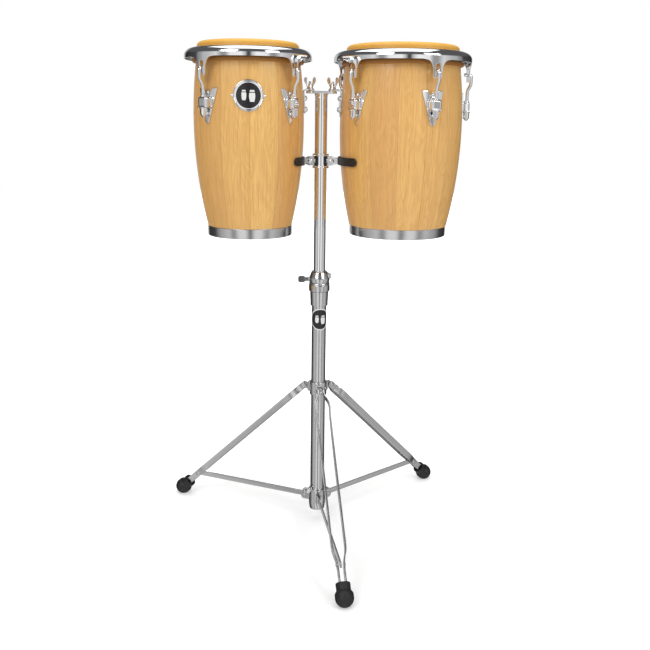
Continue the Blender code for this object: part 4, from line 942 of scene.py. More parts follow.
def pressed_rim(drum):
    """Pressed ring: a sheet from the hoop up, over its crest and out to the lip and ears.

    Columns are headings, closer together at the ears.  The upper rows follow the ring's
    section; the lower rows share the drop from the lip to the window's top, to its
    bottom and to the ear's edge, and the faces inside a window are left out.
    """
    half = RIM_SHEET / 2
    inside = drum.head + RIM_FREE + half
    edge = drum.head + RIM_REACH - half
    seat = HEAD_TOP - SKIRT + HOOP_HEIGHT + GAP + half
    on_hoop = drum.stave(seat) + GAP + SKIN + HOOP_OUT - half
    crest = HEAD_TOP - RIM_TOP_DROP - half
    lip = HEAD_TOP - RIM_LIP_DROP
    bend = 0.0030
    sweep, fall = edge - inside - bend, crest - lip - 0.0060
    a = np.radians(spread(0, 90, 16))
    over = np.stack([inside + bend + sweep * np.sin(a), crest - fall * (1 - np.cos(a))], -1)
    up = softened([(on_hoop, seat), (inside, seat + 0.006), (inside, crest), (inside + bend, crest)],
                  [0, 0.003, 0.0029, 0], 7)
    section = np.concatenate([up[:-1], over, [[edge, lip + 0.003], [edge, lip]]])
    columns = [spread(0, 2 * pi, 200, False)]
    near = np.concatenate([spread(0, 0.0035, 4), WINDOW_HALF * np.sin(spread(0.85, pi / 2, 6)),
                           [0.0062, 0.0070, 0.0078, 0.0084], spread(0.0088, EAR_HALF, 5),
                           EAR_HALF + 0.015 * (1 - np.cos(spread(0.12, pi / 2, 11))),
                           [0.0262, 0.0280, 0.0310]])
    near = np.unique(np.round(np.concatenate([near, -near]), 6))
    for lug in drum.lugs:
        columns.append((lug + near / edge) % (2 * pi))
    angle = np.unique(np.round(np.concatenate(columns), 5))
    off = np.stack([(angle - lug + pi) % (2 * pi) - pi for lug in drum.lugs])
    x = off[np.abs(off).argmin(0), np.arange(len(angle))] * edge
    plain = np.abs(x) > 0.0315
    tight = np.ones(len(angle), bool)
    tight[1:] = np.diff(angle) > 0.006
    keep_column = ~plain | tight
    angle, x = angle[keep_column], x[keep_column]
    lowest = ear_low(x)
    arch = WINDOW_TOP + WINDOW_HALF - np.sqrt(np.maximum(WINDOW_HALF ** 2 - x ** 2, 0))
    room = lowest - RIM_LIP_DROP
    top = np.where(np.abs(x) < EAR_HALF, np.where(np.abs(x) < WINDOW_HALF, arch, WINDOW_TOP + WINDOW_HALF),
                   RIM_LIP_DROP + room * 0.35)
    bottom = np.where(np.abs(x) < EAR_HALF, WINDOW_BOTTOM, RIM_LIP_DROP + room * 0.70)
    top = np.minimum(top, RIM_LIP_DROP + room * 0.45)
    bottom = np.minimum(bottom, RIM_LIP_DROP + room * 0.82)
    drops = [RIM_LIP_DROP + 0 * x]
    for start, end, count in ((drops[0], top, 4), (top, bottom, 5), (bottom, lowest, 3)):
        drops += [start + (end - start) * t for t in spread(0, 1, count + 1)[1:]]
    lower = HEAD_TOP - np.stack(drops[1:])
    radius = np.concatenate([np.repeat(section[:, :1], len(angle), 1), edge + 0 * lower])
    height = np.concatenate([np.repeat(section[:, 1:], len(angle), 1), lower])
    points = np.stack([drum.centre[0] + radius * np.cos(angle),
                       drum.centre[1] + radius * np.sin(angle), height], -1)
    keep = np.ones((len(height) - 1, len(angle)), bool)
    first = len(section) - 1 + 4
    both = (np.abs(x) <= WINDOW_HALF + 1e-5) & (np.abs(np.roll(x, -1)) <= WINDOW_HALF + 1e-5)
    keep[first:first + 5] = ~both
    thing = piece(drum.side + "_pressed_rim", [skin_of(points[::-1], True, 0, keep[::-1])],
                  [bright_chrome()], drum.side + "_tension_set", (drum.side + "_rim",),
                  closed=False)
    thicken(thing, RIM_SHEET, 0.0005)


def tuning_hook(drum, number, towards):
    """Round rod through the ear's window, out over its edge, eased in and straight down."""
    ear = drum.head + RIM_REACH - RIM_SHEET / 2
    out = ear + HOOK_BULGE
    seat = HEAD_TOP - WINDOW_BOTTOM + ROD + GAP
    turn = HEAD_TOP - EAR_DROP - 0.002
    t = spread(0.05, 1, 20)
    eased = np.stack([out + (drum.rod - out) * t * t * (3 - 2 * t), turn - 0.018 * t], -1)
    bend = ROD * 1.6
    line = np.concatenate([[(ear - 0.0090, seat)], arc((out - bend, seat - bend), bend, 90, 0, 9),
                           [(out, turn)], eased, [(drum.rod, HEAD_TOP - ROD_BOTTOM)]])
    line = evened(line, 90, 3)
    path = drum.facing(towards, line[:, 0], 0 * line[:, 0], line[:, 1])
    ring = strand(path, ROD, (-sin(towards), cos(towards), 0))
    piece("%s_tuning_hook_%d" % (drum.side, number), [skin_of(lidded(ring))], [bright_chrome()],
          drum.side + "_tension_set", ("%s_hook_%d" % (drum.side, number),))


def lug(drum, number, towards):
    """Hugging V plate with two horns, a box for the rod with a flared foot, and two bolts."""
    x = np.unique(np.concatenate([spread(0, LUG_HALF, 25), [0.0025, 0.0040, 0.0055, 0.0125]]))
    top, notch, tip = HEAD_TOP - LUG_TOP, HEAD_TOP - LUG_NOTCH, HEAD_TOP - LUG_TIP
    high = np.interp(x, [0, 0.0035, 0.0045, 0.0125, 0.0215, LUG_HALF],
                     [notch, notch, notch + 0.001, top, top, top - 0.0006])
    low = np.interp(x, [0, 0.0025, 0.0055, LUG_HALF], [tip, tip, tip + 0.004, top - 0.0022])
    x = np.concatenate([-x[:0:-1], x])
    high, low = np.concatenate([high[:0:-1], high]), np.concatenate([low[:0:-1], low])
    flat = bar(x, low, high, 0.0, LUG_PLATE, 0.0006, 16)
    plate = drum.on_staves(towards, flat[..., 0], flat[..., 1], flat[..., 2])
    skins = [skin_of(lidded(plate))]
    base, face = drum.belly + 0.0008, drum.belly + BOX_OFF
    z_low, z_high = HEAD_TOP - BOX_BOTTOM, HEAD_TOP - BOX_TOP
    z = spread(z_low, z_high, 14)
    bow = face - 0.0012 * np.abs((z - z_low) / (z_high - z_low) - 0.4)
    for along, wide, front, edge in ((z, BOX_HALF, bow, 0.0042),
                                     (spread(z_low, z_low + 0.0020, 5), BOX_HALF + 0.0011,
                                      face + 0.0008, 0.0009)):
        body = bar(along, -wide, wide, base, front, edge, 10)
        skins.append(skin_of(lidded(drum.facing(towards, body[..., 2], body[..., 1], body[..., 0]))))
    collar = turned(softened([(ROD + 0.0002, 0.0), (ROD + 0.0002, 0.0012), (ROD + 0.0014, 0.0012),
                              (ROD + 0.0020, -0.0004), (ROD + 0.0002, -0.0004), (ROD + 0.0002, 0.0)],
                             0.0004, 3), 32, (0, 0))
    rod_at = drum.facing(towards, np.array(drum.rod), np.array(0.0), np.array(z_high))
    skins.append(skin_of(collar + rod_at))
    out = np.array([cos(towards), sin(towards), 0.0])
    bolt = bpy.context.scene.conga_hardware.bolt
    for height, size in ((HEAD_TOP - 0.0985, bolt), (HEAD_TOP - 0.1370, bolt * 0.86)):
        at = drum.on_staves(towards, np.array(0.0), np.array(height), np.array(LUG_PLATE))
        depth = 0.0 if size < bolt else -0.0010
        skins.append(skin_of(stud_on(at + out * depth, out, dome(size, size * 0.85, 0.0012, 0.0008))))
        if size == bolt:
            washer = softened([(0, -0.001), (size * 1.35, -0.001), (size * 1.35, 0.0004), (0, 0.0004)],
                              0.0003, 3)
            skins.append(skin_of(stud_on(at + out * depth, out, washer)))
    piece("%s_lug_plate_%d" % (drum.side, number), skins, [bright_chrome()], "post_and_drums",
          ("%s_lug_%d" % (drum.side, number),))


def tuning_nut(drum, number, towards):
    """Long crown nut: a round flange, six chamfered flats, a taper and a small round tip.

    Ring radius is the flats' distance over cos of the angle off the nearest flat.
    """
    flat = bpy.context.scene.conga_hardware.nut_radius
    at = drum.facing(towards, np.array(drum.rod), np.array(0.0), np.array(HEAD_TOP - BOX_BOTTOM - GAP))
    flange = turned(softened([(0, 0), (0.0080, 0), (0.0080, -0.0016), (0.0060, -0.0021), (0, -0.0021)],
                             0.0005, 4), 48, (0, 0))
    body = hexagon([(0, -0.0014, 0), (flat, -0.0014, 0), (flat, -0.0120, 0), (flat, -0.0128, 0.35),
                    (flat, -0.0132, 1), (flat * 0.72, -0.0152, 1), (flat * 0.46, -0.0166, 1),
                    (flat * 0.36, -0.0174, 1), (flat * 0.20, -0.0179, 1), (0, -NUT_LENGTH, 1)])
    turn = 0.5 * number
    c, s = cos(turn), sin(turn)
    spun = body @ np.array([[c, s, 0], [-s, c, 0], [0, 0, 1]])
    piece("%s_crown_nut_%d" % (drum.side, number), [skin_of(flange + at), skin_of(spun + at)],
          [bright_chrome()], "%s_tuning_nut_%d" % (drum.side, number),
          ("%s_nut_%d" % (drum.side, number),), sharp=28)


def side_bracket(drum):
    """Bent plate: up the staves, round a bend and level over the post's plate, with bolts.

    Its middle line is carried with a flat section whose hug fades out past the bend:
    the plate's radius falls by r - sqrt(r^2 - y^2) across its width.
    """
    towards = drum.to_post
    seat = PLATE_TOP + GAP
    middle_z = seat + TONGUE_THICK / 2
    low = seat + TONGUE_THICK - 0.0480
    end = abs(drum.centre[0] - AXIS[0]) - (STUD_X - 0.0090)
    z = spread(low, middle_z - 0.006, 14)
    wall = np.stack([drum.stave(z) + GAP + TONGUE_THICK / 2, z], -1)
    corner = (wall[-1][0] - 0.0001, middle_z)
    line = softened(np.concatenate([wall[[0]], wall[[-1]], [corner], [(end, middle_z)]]), 0.0055, 10)
    line = np.concatenate([wall[:-1], line[10:] if len(line) > 12 else line])
    line = evened(line, 60, 1)
    ahead = np.gradient(line, axis=0)
    ahead /= np.linalg.norm(ahead, axis=1, keepdims=True)
    run = np.concatenate([[0], np.cumsum(np.linalg.norm(np.diff(line, axis=0), axis=1))])
    back_end = run[-1] - run
    half = np.interp(run, [0, 0.0030, 0.0090, 0.040, 0.052], [0.0070, 0.0110, 0.0140, 0.0140, 0.0120])
    rounded = np.sqrt(1 - (1 - back_end / 0.008).clip(0, 1) ** 2)
    half = np.minimum(half, 0.0120 - 0.0080 * (1 - rounded) + np.where(run < 0.052, 0.01, 0))
    flat = bar(run, -half, half, -TONGUE_THICK / 2, TONGUE_THICK / 2, 0.0006, 12)
    at = [np.interp(flat[..., 0], run, line[:, k]) for k in (0, 1)]
    tangent = [np.interp(flat[..., 0], run, ahead[:, k]) for k in (0, 1)]
    hug = np.clip(tangent[1], 0, 1)
    radius = drum.stave(low) + 0 * flat[..., 1]
    sag = radius - np.sqrt(radius ** 2 - flat[..., 1] ** 2)
    out = at[0] + tangent[1] * flat[..., 2] - hug * sag
    height = at[1] - tangent[0] * flat[..., 2]
    skins = [skin_of(lidded(drum.facing(towards, out, flat[..., 1], height)))]
    ahead3 = np.array([cos(towards), sin(towards), 0.0])
    for drop in (0.0150, 0.0370):
        z = seat - drop
        at = drum.on_staves(towards, np.array(0.0), np.array(z), np.array(TONGUE_THICK))
        washer = softened([(0, -0.001), (0.0062, -0.001), (0.0062, 0.0008), (0, 0.0008)], 0.0003, 3)
        skins.append(skin_of(stud_on(at, ahead3, washer)))
        skins.append(skin_of(stud_on(at + ahead3 * 0.0008, ahead3, dome(0.0050, 0.0042, 0.001, 0.0010))))
    piece(drum.side + "_side_bracket", skins, [bright_chrome()], "post_and_drums",
          (drum.side + "_bracket",))


def rubber_pad(drum):
    """Moulded arc that the shell leans on, with rounded edges and full round ends."""
    low, high = box(drum.side + "_pad")
    z_low, z_high = low[2], high[2]
    wall = drum.stave(z_high) + GAP + 0.0005
    thick = 0.0044
    reach = radians(36.5)
    angle = reach * np.sin(spread(-pi / 2, pi / 2, 60))
    away = (reach - np.abs(angle)) * wall
    half = (z_high - z_low) / 2
    round_off = np.sqrt(np.clip(1 - (1 - np.clip(away / 0.0075, 0, 1)) ** 2, 0, 1)).clip(0.12, 1)
    middle_z = (z_low + z_high) / 2
    ring = bar(angle, middle_z - half * round_off, middle_z + half * round_off, 0.0, thick, 0.0016, 6)
    heading_of = drum.to_post + ring[..., 0]
    radius = wall + ring[..., 2]
    points = np.stack([drum.centre[0] + radius * np.cos(heading_of),
                       drum.centre[1] + radius * np.sin(heading_of), ring[..., 1]], -1)
    piece(drum.side + "_rubber_pad", [skin_of(lidded(points))], [moulded_rubber()],
          "post_and_drums", (drum.side + "_pad",), sharp=50)


def disc_on(surface, radius, low, high, edge, steps=96):
    """A round button on a curved surface: its edge rises round, its face stays level.

    Rows are shares of the radius, columns are headings round the button, and
    surface(x, z, depth) puts each point on the curved surface.
    """
    rise = np.radians(spread(0, 90, 5))
    rows = np.concatenate([[(0.0, low), (radius, low)],
                           np.stack([radius - edge * (1 - np.cos(rise)),
                                     high - edge * (1 - np.sin(rise))], -1),
                           np.stack([spread(radius - edge, 0, 14)[1:], np.full(13, high)], -1)])
    angle = spread(0, 2 * pi, steps, False)
    x = rows[:, :1] * np.cos(angle)
    z = rows[:, :1] * np.sin(angle)
    return surface(x, z, rows[:, 1:] + 0 * x)


def ring_on(surface, outer, inner, low, high, steps=96):
    """A round-backed ring on a curved surface: its section is a low arch."""
    t = spread(0, pi, 13)
    reach = (outer + inner) / 2 + (outer - inner) / 2 * np.cos(t)
    rows = np.stack([reach, low + (high - low) * np.sin(t)], -1)
    rows = np.concatenate([rows, [[inner, low - 0.0004], [outer, low - 0.0004]], rows[:1]])
    angle = spread(0, 2 * pi, steps, False)
    x, z = rows[:, :1] * np.cos(angle), rows[:, :1] * np.sin(angle)
    return surface(x, z, rows[:, 1:] + 0 * x)


def emblem_on(surface, size, low, high):
    """A plain sign of two barrel drums, each a raised patch with a band under its head.

    A barrel's half width is w (1 - 0.35 s^2) at the share s of its height from the middle.
    """
    patches = []
    for x0, wide, tall, z0 in ((-0.36, 0.20, 0.40, 0.03), (0.30, 0.25, 0.46, -0.03)):
        for start, end in ((-1.0, 0.52), (0.66, 1.0)):
            s = spread(start, end, 16)
            half = wide * (1 - 0.35 * s ** 2) * size
            flat = bar(s * tall * size, -half, half, low, high, size * 0.012, 6)
            patches.append(lidded(surface(flat[..., 1] + x0 * size, flat[..., 0] + z0 * size,
                                          flat[..., 2])))
    return patches


def badge():
    """Round badge on the small drum's front: black disc, chrome ring, sign and two pins."""
    drum = drums()[0]
    look = bpy.context.scene.conga_drums
    towards = radians(-90.9)

    def surface(x, z, depth):
        return drum.on_staves(towards, x, look.badge_height + z, depth - GAP)

    r = look.badge
    skins = [skin_of(disc_on(surface, r * 0.985, -0.0002, 0.0009, 0.0006), finish=0),
             skin_of(disc_on(surface, r * 0.80, 0.0002, 0.0013, 0.0003), finish=1),
             skin_of(ring_on(surface, r, r * 0.90, 0.0006, 0.0022), finish=0),
             skin_of(ring_on(surface, r * 0.84, r * 0.795, 0.0006, 0.0016), finish=2)]
    skins += [skin_of(p, finish=2) for p in emblem_on(surface, r * 0.80, 0.0008, 0.0017)]
    out = np.array([cos(towards), sin(towards), 0.0])
    for side in (-1, 1):
        at = surface(np.array(side * (r + 0.0022)), np.array(-0.0006), np.array(0.0004))
        skins.append(skin_of(stud_on(at, out, dome(0.0016, 0.0011, 0.0006, 0.0003)), finish=0))
        tab = bar(side * spread(r - 0.002, r + 0.0046, 8)[::side], -0.0026, 0.0014, 0.0, 0.0007, 0.0003, 3)
        skins.append(skin_of(lidded(surface(tab[..., 0], tab[..., 1], tab[..., 2])), finish=0))
    piece("round_badge", skins, [bright_chrome(), enamel("Black enamel", (0.012, 0.012, 0.014), 0.22),
                                 enamel("White enamel", (0.80, 0.80, 0.78), 0.30)],
          "post_and_drums")


# ---------------------------------------------------------------- post and clamps
def threaded(radius, low, high, pitch, depth, steps=32, rows_each=8):
    """A rod with a helical thread: r = R - d |2 frac(z / pitch - a / 2 pi) - 1|."""
    z = spread(low, high, int((high - low) / pitch * rows_each))
    angle = spread(0, 2 * pi, steps, False)
    wave = np.abs(2 * ((z[:, None] / pitch - angle / (2 * pi)) % 1) - 1)
    fade = np.clip((high - z) / (pitch * 0.8), 0, 1)[:, None]
    r = radius - depth * wave - 0.0006 * (1 - fade)
    points = np.stack([r * np.cos(angle), r * np.sin(angle), z[:, None] + 0 * r], -1)
    return lidded(points)


def chromed_post():
    """Tube about the axis, the level plate with full round ends welded on, and two studs."""
    low, high = box("post")
    under = PLATE_TOP - PLATE_THICK
    tube = softened([(POST - 0.0015, low[2]), (POST, low[2]), (POST, under - 0.0035),
                     (POST + 0.0016, under - 0.0008), (POST + 0.0016, under + 0.001),
                     (POST - 0.0015, under + 0.001), (POST - 0.0015, low[2])],
                    [0, 0.0004, 0.002, 0.001, 0.0002, 0.0002, 0], 4)
    half_x, half_y = (high[0] - low[0]) / 2, (high[1] - low[1]) / 2
    x = half_x * np.sin(spread(-pi / 2, pi / 2, 61))
    round_r = half_y * 0.75
    past = np.clip(np.abs(x) - (half_x - round_r), 0, round_r)
    y = half_y - round_r + np.sqrt(round_r ** 2 - past ** 2)
    y = np.maximum(y, 0.002)
    plate = bar(x, -y, y, under, PLATE_TOP, 0.0008, 8)
    plate = plate + np.array([AXIS[0], AXIS[1], 0.0])
    skins = [skin_of(turned(tube, 96)), skin_of(lidded(plate))]
    for side in (-1, 1):
        stud = threaded(0.0030, PLATE_TOP - 0.001, high[2], 0.00125, 0.00038)
        skins.append(skin_of(stud + np.array([AXIS[0] + side * STUD_X, AXIS[1], 0.0])))
    piece("chromed_post", skins, [bright_chrome()], "post_and_drums", ("post",))


def wing_nut(side, turn):
    """Turned hub and two thin wings that rise, flare and end in round ears.

    A wing's section at x is the rectangle from its lower to its upper line.
    """
    look = bpy.context.scene.conga_hardware
    at = pin(side + "_wing_nut_turn").copy()
    at[2] = box(side + "_wing_nut")[0][2]
    hub = softened([(0.0033, 0.0096), (0.0033, 0.0100), (0.0046, 0.0100), (0.0054, 0.0060),
                    (0.0058, 0.0030), (0.0074, 0.0012), (0.0074, 0.0), (0.0033, 0.0), (0.0033, 0.0096)],
                   [0, 0.0002, 0.0010, 0.001, 0.002, 0.0006, 0.0003, 0.0002, 0], 4)
    skins = [skin_of(turned(hub, 40, (0, 0)) + at)]
    reach, rise = look.wing_span / 2, look.wing_rise
    x = spread(0.0042, reach, 22)
    low = np.interp(x, [0.0042, 0.0065, reach - 0.0030, reach - 0.0008, reach],
                    [0.0030, 0.0045, rise * 0.46, rise * 0.58, rise * 0.72])
    high = np.interp(x, [0.0042, 0.0060, reach - 0.0062, reach - 0.0040, reach - 0.0014, reach],
                     [0.0095, 0.0108, rise * 0.88, rise, rise * 0.95, rise * 0.82])
    thick = np.interp(x, [0.0042, 0.0075, reach], [0.0021, 0.0013, 0.0012])
    wing = bar(x, low, high, -thick, thick, 0.0007, 8)
    for end in (1.0, -1.0):
        local = np.stack([wing[..., 0] * end, wing[..., 2] * end, wing[..., 1]], -1)
        c, s = cos(turn), sin(turn)
        skins.append(skin_of(lidded(local @ np.array([[c, s, 0], [-s, c, 0], [0, 0, 1]]) + at)))
    piece(side + "_winged_nut", skins, [bright_chrome()], side + "_bracket_nut",
          (side + "_wing_nut",))


def stabilizer(name, side):
    """Half of a spool clamp round the post, its two flat arms and their bolts.

    The half spool is its closed section carried round half a turn less the split.
    """
    low, high = box(name)
    z_low, z_high = low[2], high[2]
    bore = POST + GAP
    radius, waist, flange = 0.0170, 0.0150, 0.0022
    section = softened([(bore, z_low + 0.001), (bore, z_low), (radius, z_low), (radius, z_low + flange),
                        (waist, z_low + 2 * flange), (waist, z_high - 2 * flange),
                        (radius, z_high - flange), (radius, z_high), (bore, z_high),
                        (bore, z_low + 0.001)],
                       [0, .0003, .0006, .0006, .001, .001, .0006, .0006, .0003, 0], 4)
    split = asin(0.0008 / bore)
    start = split if side > 0 else pi + split
    points = turned(section, 56, None, start, pi - 2 * split)
    rings = points.transpose(1, 0, 2)
    skins = [skin_of(lidded(rings))]
    z = (z_low + z_high) / 2
    y = AXIS[1] + side * (0.0006 + 0.0015)
    for end_x in (low[0], high[0]):
        way = -1 if end_x < AXIS[0] else 1
        x = spread(bore + 0.0006, abs(end_x - AXIS[0]), 24)
        half = np.interp(x, [0.013, 0.024, 0.030, 0.036, 0.060], [0.0095, 0.0095, 0.0072, 0.0070, 0.0070])
        arm = bar(x, -half, half, -0.0015, 0.0015, 0.0005, 5)
        local = np.stack([AXIS[0] + way * arm[..., 0], y + arm[..., 2], z + arm[..., 1]], -1)
        skins.append(skin_of(lidded(local)))
        if side < 0:
            at = np.array([AXIS[0] + way * 0.0225, y - 0.0015, z])
            skins.append(skin_of(stud_on(at, (0, -1, 0), dome(0.0048, 0.0036, 0.001, 0.0012))))
        else:
            at = np.array([AXIS[0] + way * 0.0225, y + 0.0015, z])
            nut = hexagon([(0, -0.001, 0), (0.0048, -0.001, 0), (0.0048, 0.0026, 0), (0.0048, 0.0032, 0.5),
                           (0.0044, 0.0036, 1), (0, 0.0036, 1)])
            skins.append(skin_of(placed(nut, at, (1, 0, 0), (0, 0, -1))))
    piece(name + "_clamp", skins, [bright_chrome()], "post_and_drums", (name,))


def stand_tube():
    """Plain steel tube with rounded ends, and a round label wrapped on its front."""
    low, high = box("base_tube")
    wall = 0.0015
    tube = softened([(BASE - wall, low[2]), (BASE, low[2]), (BASE, high[2]), (BASE - wall, high[2]),
                     (BASE - wall, low[2])], [0, 0.0005, 0.0005, 0.0005, 0], 4)
    piece("stand_tube", [skin_of(turned(tube, 96))], [plated_steel()], "stand_base",
          ("base_tube",))
    look = bpy.context.scene.conga_stand

    def surface(x, z, depth):
        angle = radians(-84.0) + x / BASE
        radius = BASE + depth
        return np.stack([AXIS[0] + radius * np.cos(angle), AXIS[1] + radius * np.sin(angle),
                         look.label_height + z + 0 * radius], -1)

    r = look.label
    skins = [skin_of(disc_on(surface, r, -0.0001, 0.00022, 0.0001), finish=1),
             skin_of(disc_on(surface, r * 0.90, 0.0001, 0.00034, 0.00008), finish=0)]
    skins += [skin_of(p, finish=1) for p in emblem_on(surface, r * 0.86, 0.0002, 0.00046)]
    piece("round_label", skins, [enamel("Black print", (0.014, 0.014, 0.015), 0.34),
                                 enamel("White print", (0.78, 0.78, 0.76), 0.38)], "stand_base")


def clamp():
    """Stepped height clamp, slotted at the front of its upper body, with its brass bolt.

    The upper body is its section carried round, less the slot; the skirt goes all round.
    """
    low, high = box("height_clamp")
    step = 0.5390
    body, neck, skirt = (high[0] - low[0]) / 2, 0.0200, 0.0187
    bore_low, bore_high, top = BASE + GAP, POST + GAP, high[2]
    lower = softened([(bore_low, low[2] + 0.002), (bore_low, low[2]), (skirt, low[2]),
                      (skirt + 0.0004, low[2] + 0.0040), (skirt + 0.0002, low[2] + 0.0060),
                      (neck, step), (body - 0.0030, step + 0.0020), (bore_high, step + 0.0020),
                      (bore_high, 0.5533), (bore_low, 0.5533), (bore_low, low[2] + 0.002)],
                     [0, .0004, .0008, .001, .001, .0012, .0004, .0004, .0004, .0004, 0], 4)
    upper = softened([(bore_high, step + 0.004), (bore_high, step + 0.0015), (body - 0.0016, step + 0.0012),
                      (body, step + 0.0034), (body, top - 0.0050), (body - 0.0012, top - 0.0042),
                      (body - 0.0012, top - 0.0030), (body, top - 0.0022), (body - 0.0010, top),
                      (bore_high, top), (bore_high, step + 0.004)],
                     [0, .0004, .0008, .001, .0004, .0004, .0004, .0004, .0008, .0004, 0], 4)
    open_by = asin(0.0030 / body)
    rings = turned(upper, 110, None, -pi / 2 + open_by, 2 * pi - 2 * open_by).transpose(1, 0, 2)
    skins = [skin_of(turned(lower, 96)), skin_of(lidded(rings))]
    towards = radians(-90 - 48)
    out = np.array([cos(towards), sin(towards), 0.0])
    at = np.array([AXIS[0], AXIS[1], 0.5505]) + (body - 0.0008) * out
    skins.append(skin_of(stud_on(at, out, dome(0.0052, 0.0024, 0.001, 0.0012)), finish=1))
    zinc = dark_metal("Yellow zinc", (0.62, 0.42, 0.22), (0.40, 0.26, 0.13))
    piece("stepped_clamp", skins, [plated_steel(), zinc], "stand_base", ("height_clamp",))


def lock_collar():
    """Memory lock: a faceted cone on a round seat, an ear to the right and a bolt boss."""
    low, high = box("memory_lock")
    z, top = low[2], high[2]
    bore = POST + GAP
    cone = softened([(bore, z + 0.001), (bore, z), (0.0212, z), (0.0215, z + 0.0015),
                     (0.0225, z + 0.0075), (0.0215, z + 0.0113), (0.0175, top - 0.0022), (0.0158, top),
                     (bore, top), (bore, z + 0.001)],
                    [0, .0003, .0004, .001, .0016, .0016, .001, .0006, .0003, 0], 5)
    skins = [skin_of(turned(cone, 96))]
    reach = high[0] - AXIS[0]
    x = spread(0.0150, reach, 16)
    tall = np.interp(x, [0.015, reach - 0.004, reach], [0.0066, 0.0066, 0.0044])
    mid = z + 0.01375
    ear = bar(x, mid - tall, mid + tall, -0.006, 0.006, 0.0010, 5)
    ear = np.stack([AXIS[0] + ear[..., 0], AXIS[1] + ear[..., 2], ear[..., 1]], -1)
    skins.append(skin_of(lidded(ear)))
    bolt_at = pin("lock_bolt_turn")
    boss = softened([(0, -0.010), (0.0055, -0.010), (0.0055, -0.0001), (0, -0.0001)], 0.0006, 4)
    skins.append(skin_of(stud_on(bolt_at, (-1, 0, 0), boss)))
    screw_at = np.array([AXIS[0] + reach * 0.86, AXIS[1] - 0.006, mid])
    skins.append(skin_of(stud_on(screw_at, (0, -1, 0), dome(0.0034, 0.0020, 0.001, 0.0008))))
    piece("memory_collar", skins, [plated_steel()], "height_lock", ("memory_lock",))


def winged_screw(name, joint, node, out, length_of, height, thick, body, finish):
    """Screw with a flat paddle: a stem, a waist and a rounded wing along its axis."""
    at = pin(joint) + np.asarray(out) * (GAP + 0.0001)
    half = height / 2
    x = np.concatenate([[0.0006, 0.0020, 0.0036], spread(0.0045, length_of, 18)])
    tall = np.interp(x, [0.0006, 0.004, 0.0055, 0.0085, length_of - 0.0035, length_of - 0.0008, length_of],
                     [half * 0.52, half * 0.54, half * 0.66, half * 0.98, half, half * 0.80, half * 0.60])
    deep = np.interp(x, [0.0, 0.004, 0.006, length_of], [half * 0.50, half * 0.48, thick / 2, thick / 2])
    paddle = bar(x, -tall, tall, -deep, deep, 0.0009, 8)
    groove = np.exp(-((x - 0.0062) / 0.0007) ** 2)
    paddle[..., 2] *= 1 - 0.22 * np.interp(paddle[..., 0], x, groove)
    skins = [skin_of(lidded(placed(paddle, at, out, (0, 0, 1))))]
    collar = softened([(0, 0.0), (half * 0.62, 0.0), (half * 0.62, 0.0022), (0, 0.0022)], 0.0005, 4)
    skins.append(skin_of(stud_on(at, out, collar)))
    piece(name, skins, [finish], body, (node,))


# ---------------------------------------------------------------- tripod
def leg_frame(name):
    """A leg's own frame: its pin and the way straight out along the floor."""
    top, floor_end = pin(name + "_leg_fold"), middle(name + "_foot")
    flat = floor_end[:2] - AXIS
    out = np.array([*(flat / np.linalg.norm(flat)), 0.0])
    return top, out


def down_of(angle, out):
    """Unit vector that leans out by an angle from straight down."""
    return out * sin(angle) - np.array([0, 0, cos(angle)])


LEG_RISE = 0.3216 - 0.0165              # from the foot ball's centre up to the leg's pin
LEG_SPREAD = 0.3550 - 0.0340
LEG_ANGLE = atan2(LEG_SPREAD, LEG_RISE)
LEG_LENGTH = hypot(LEG_SPREAD, LEG_RISE)
STRUT_ALONG = 0.3800


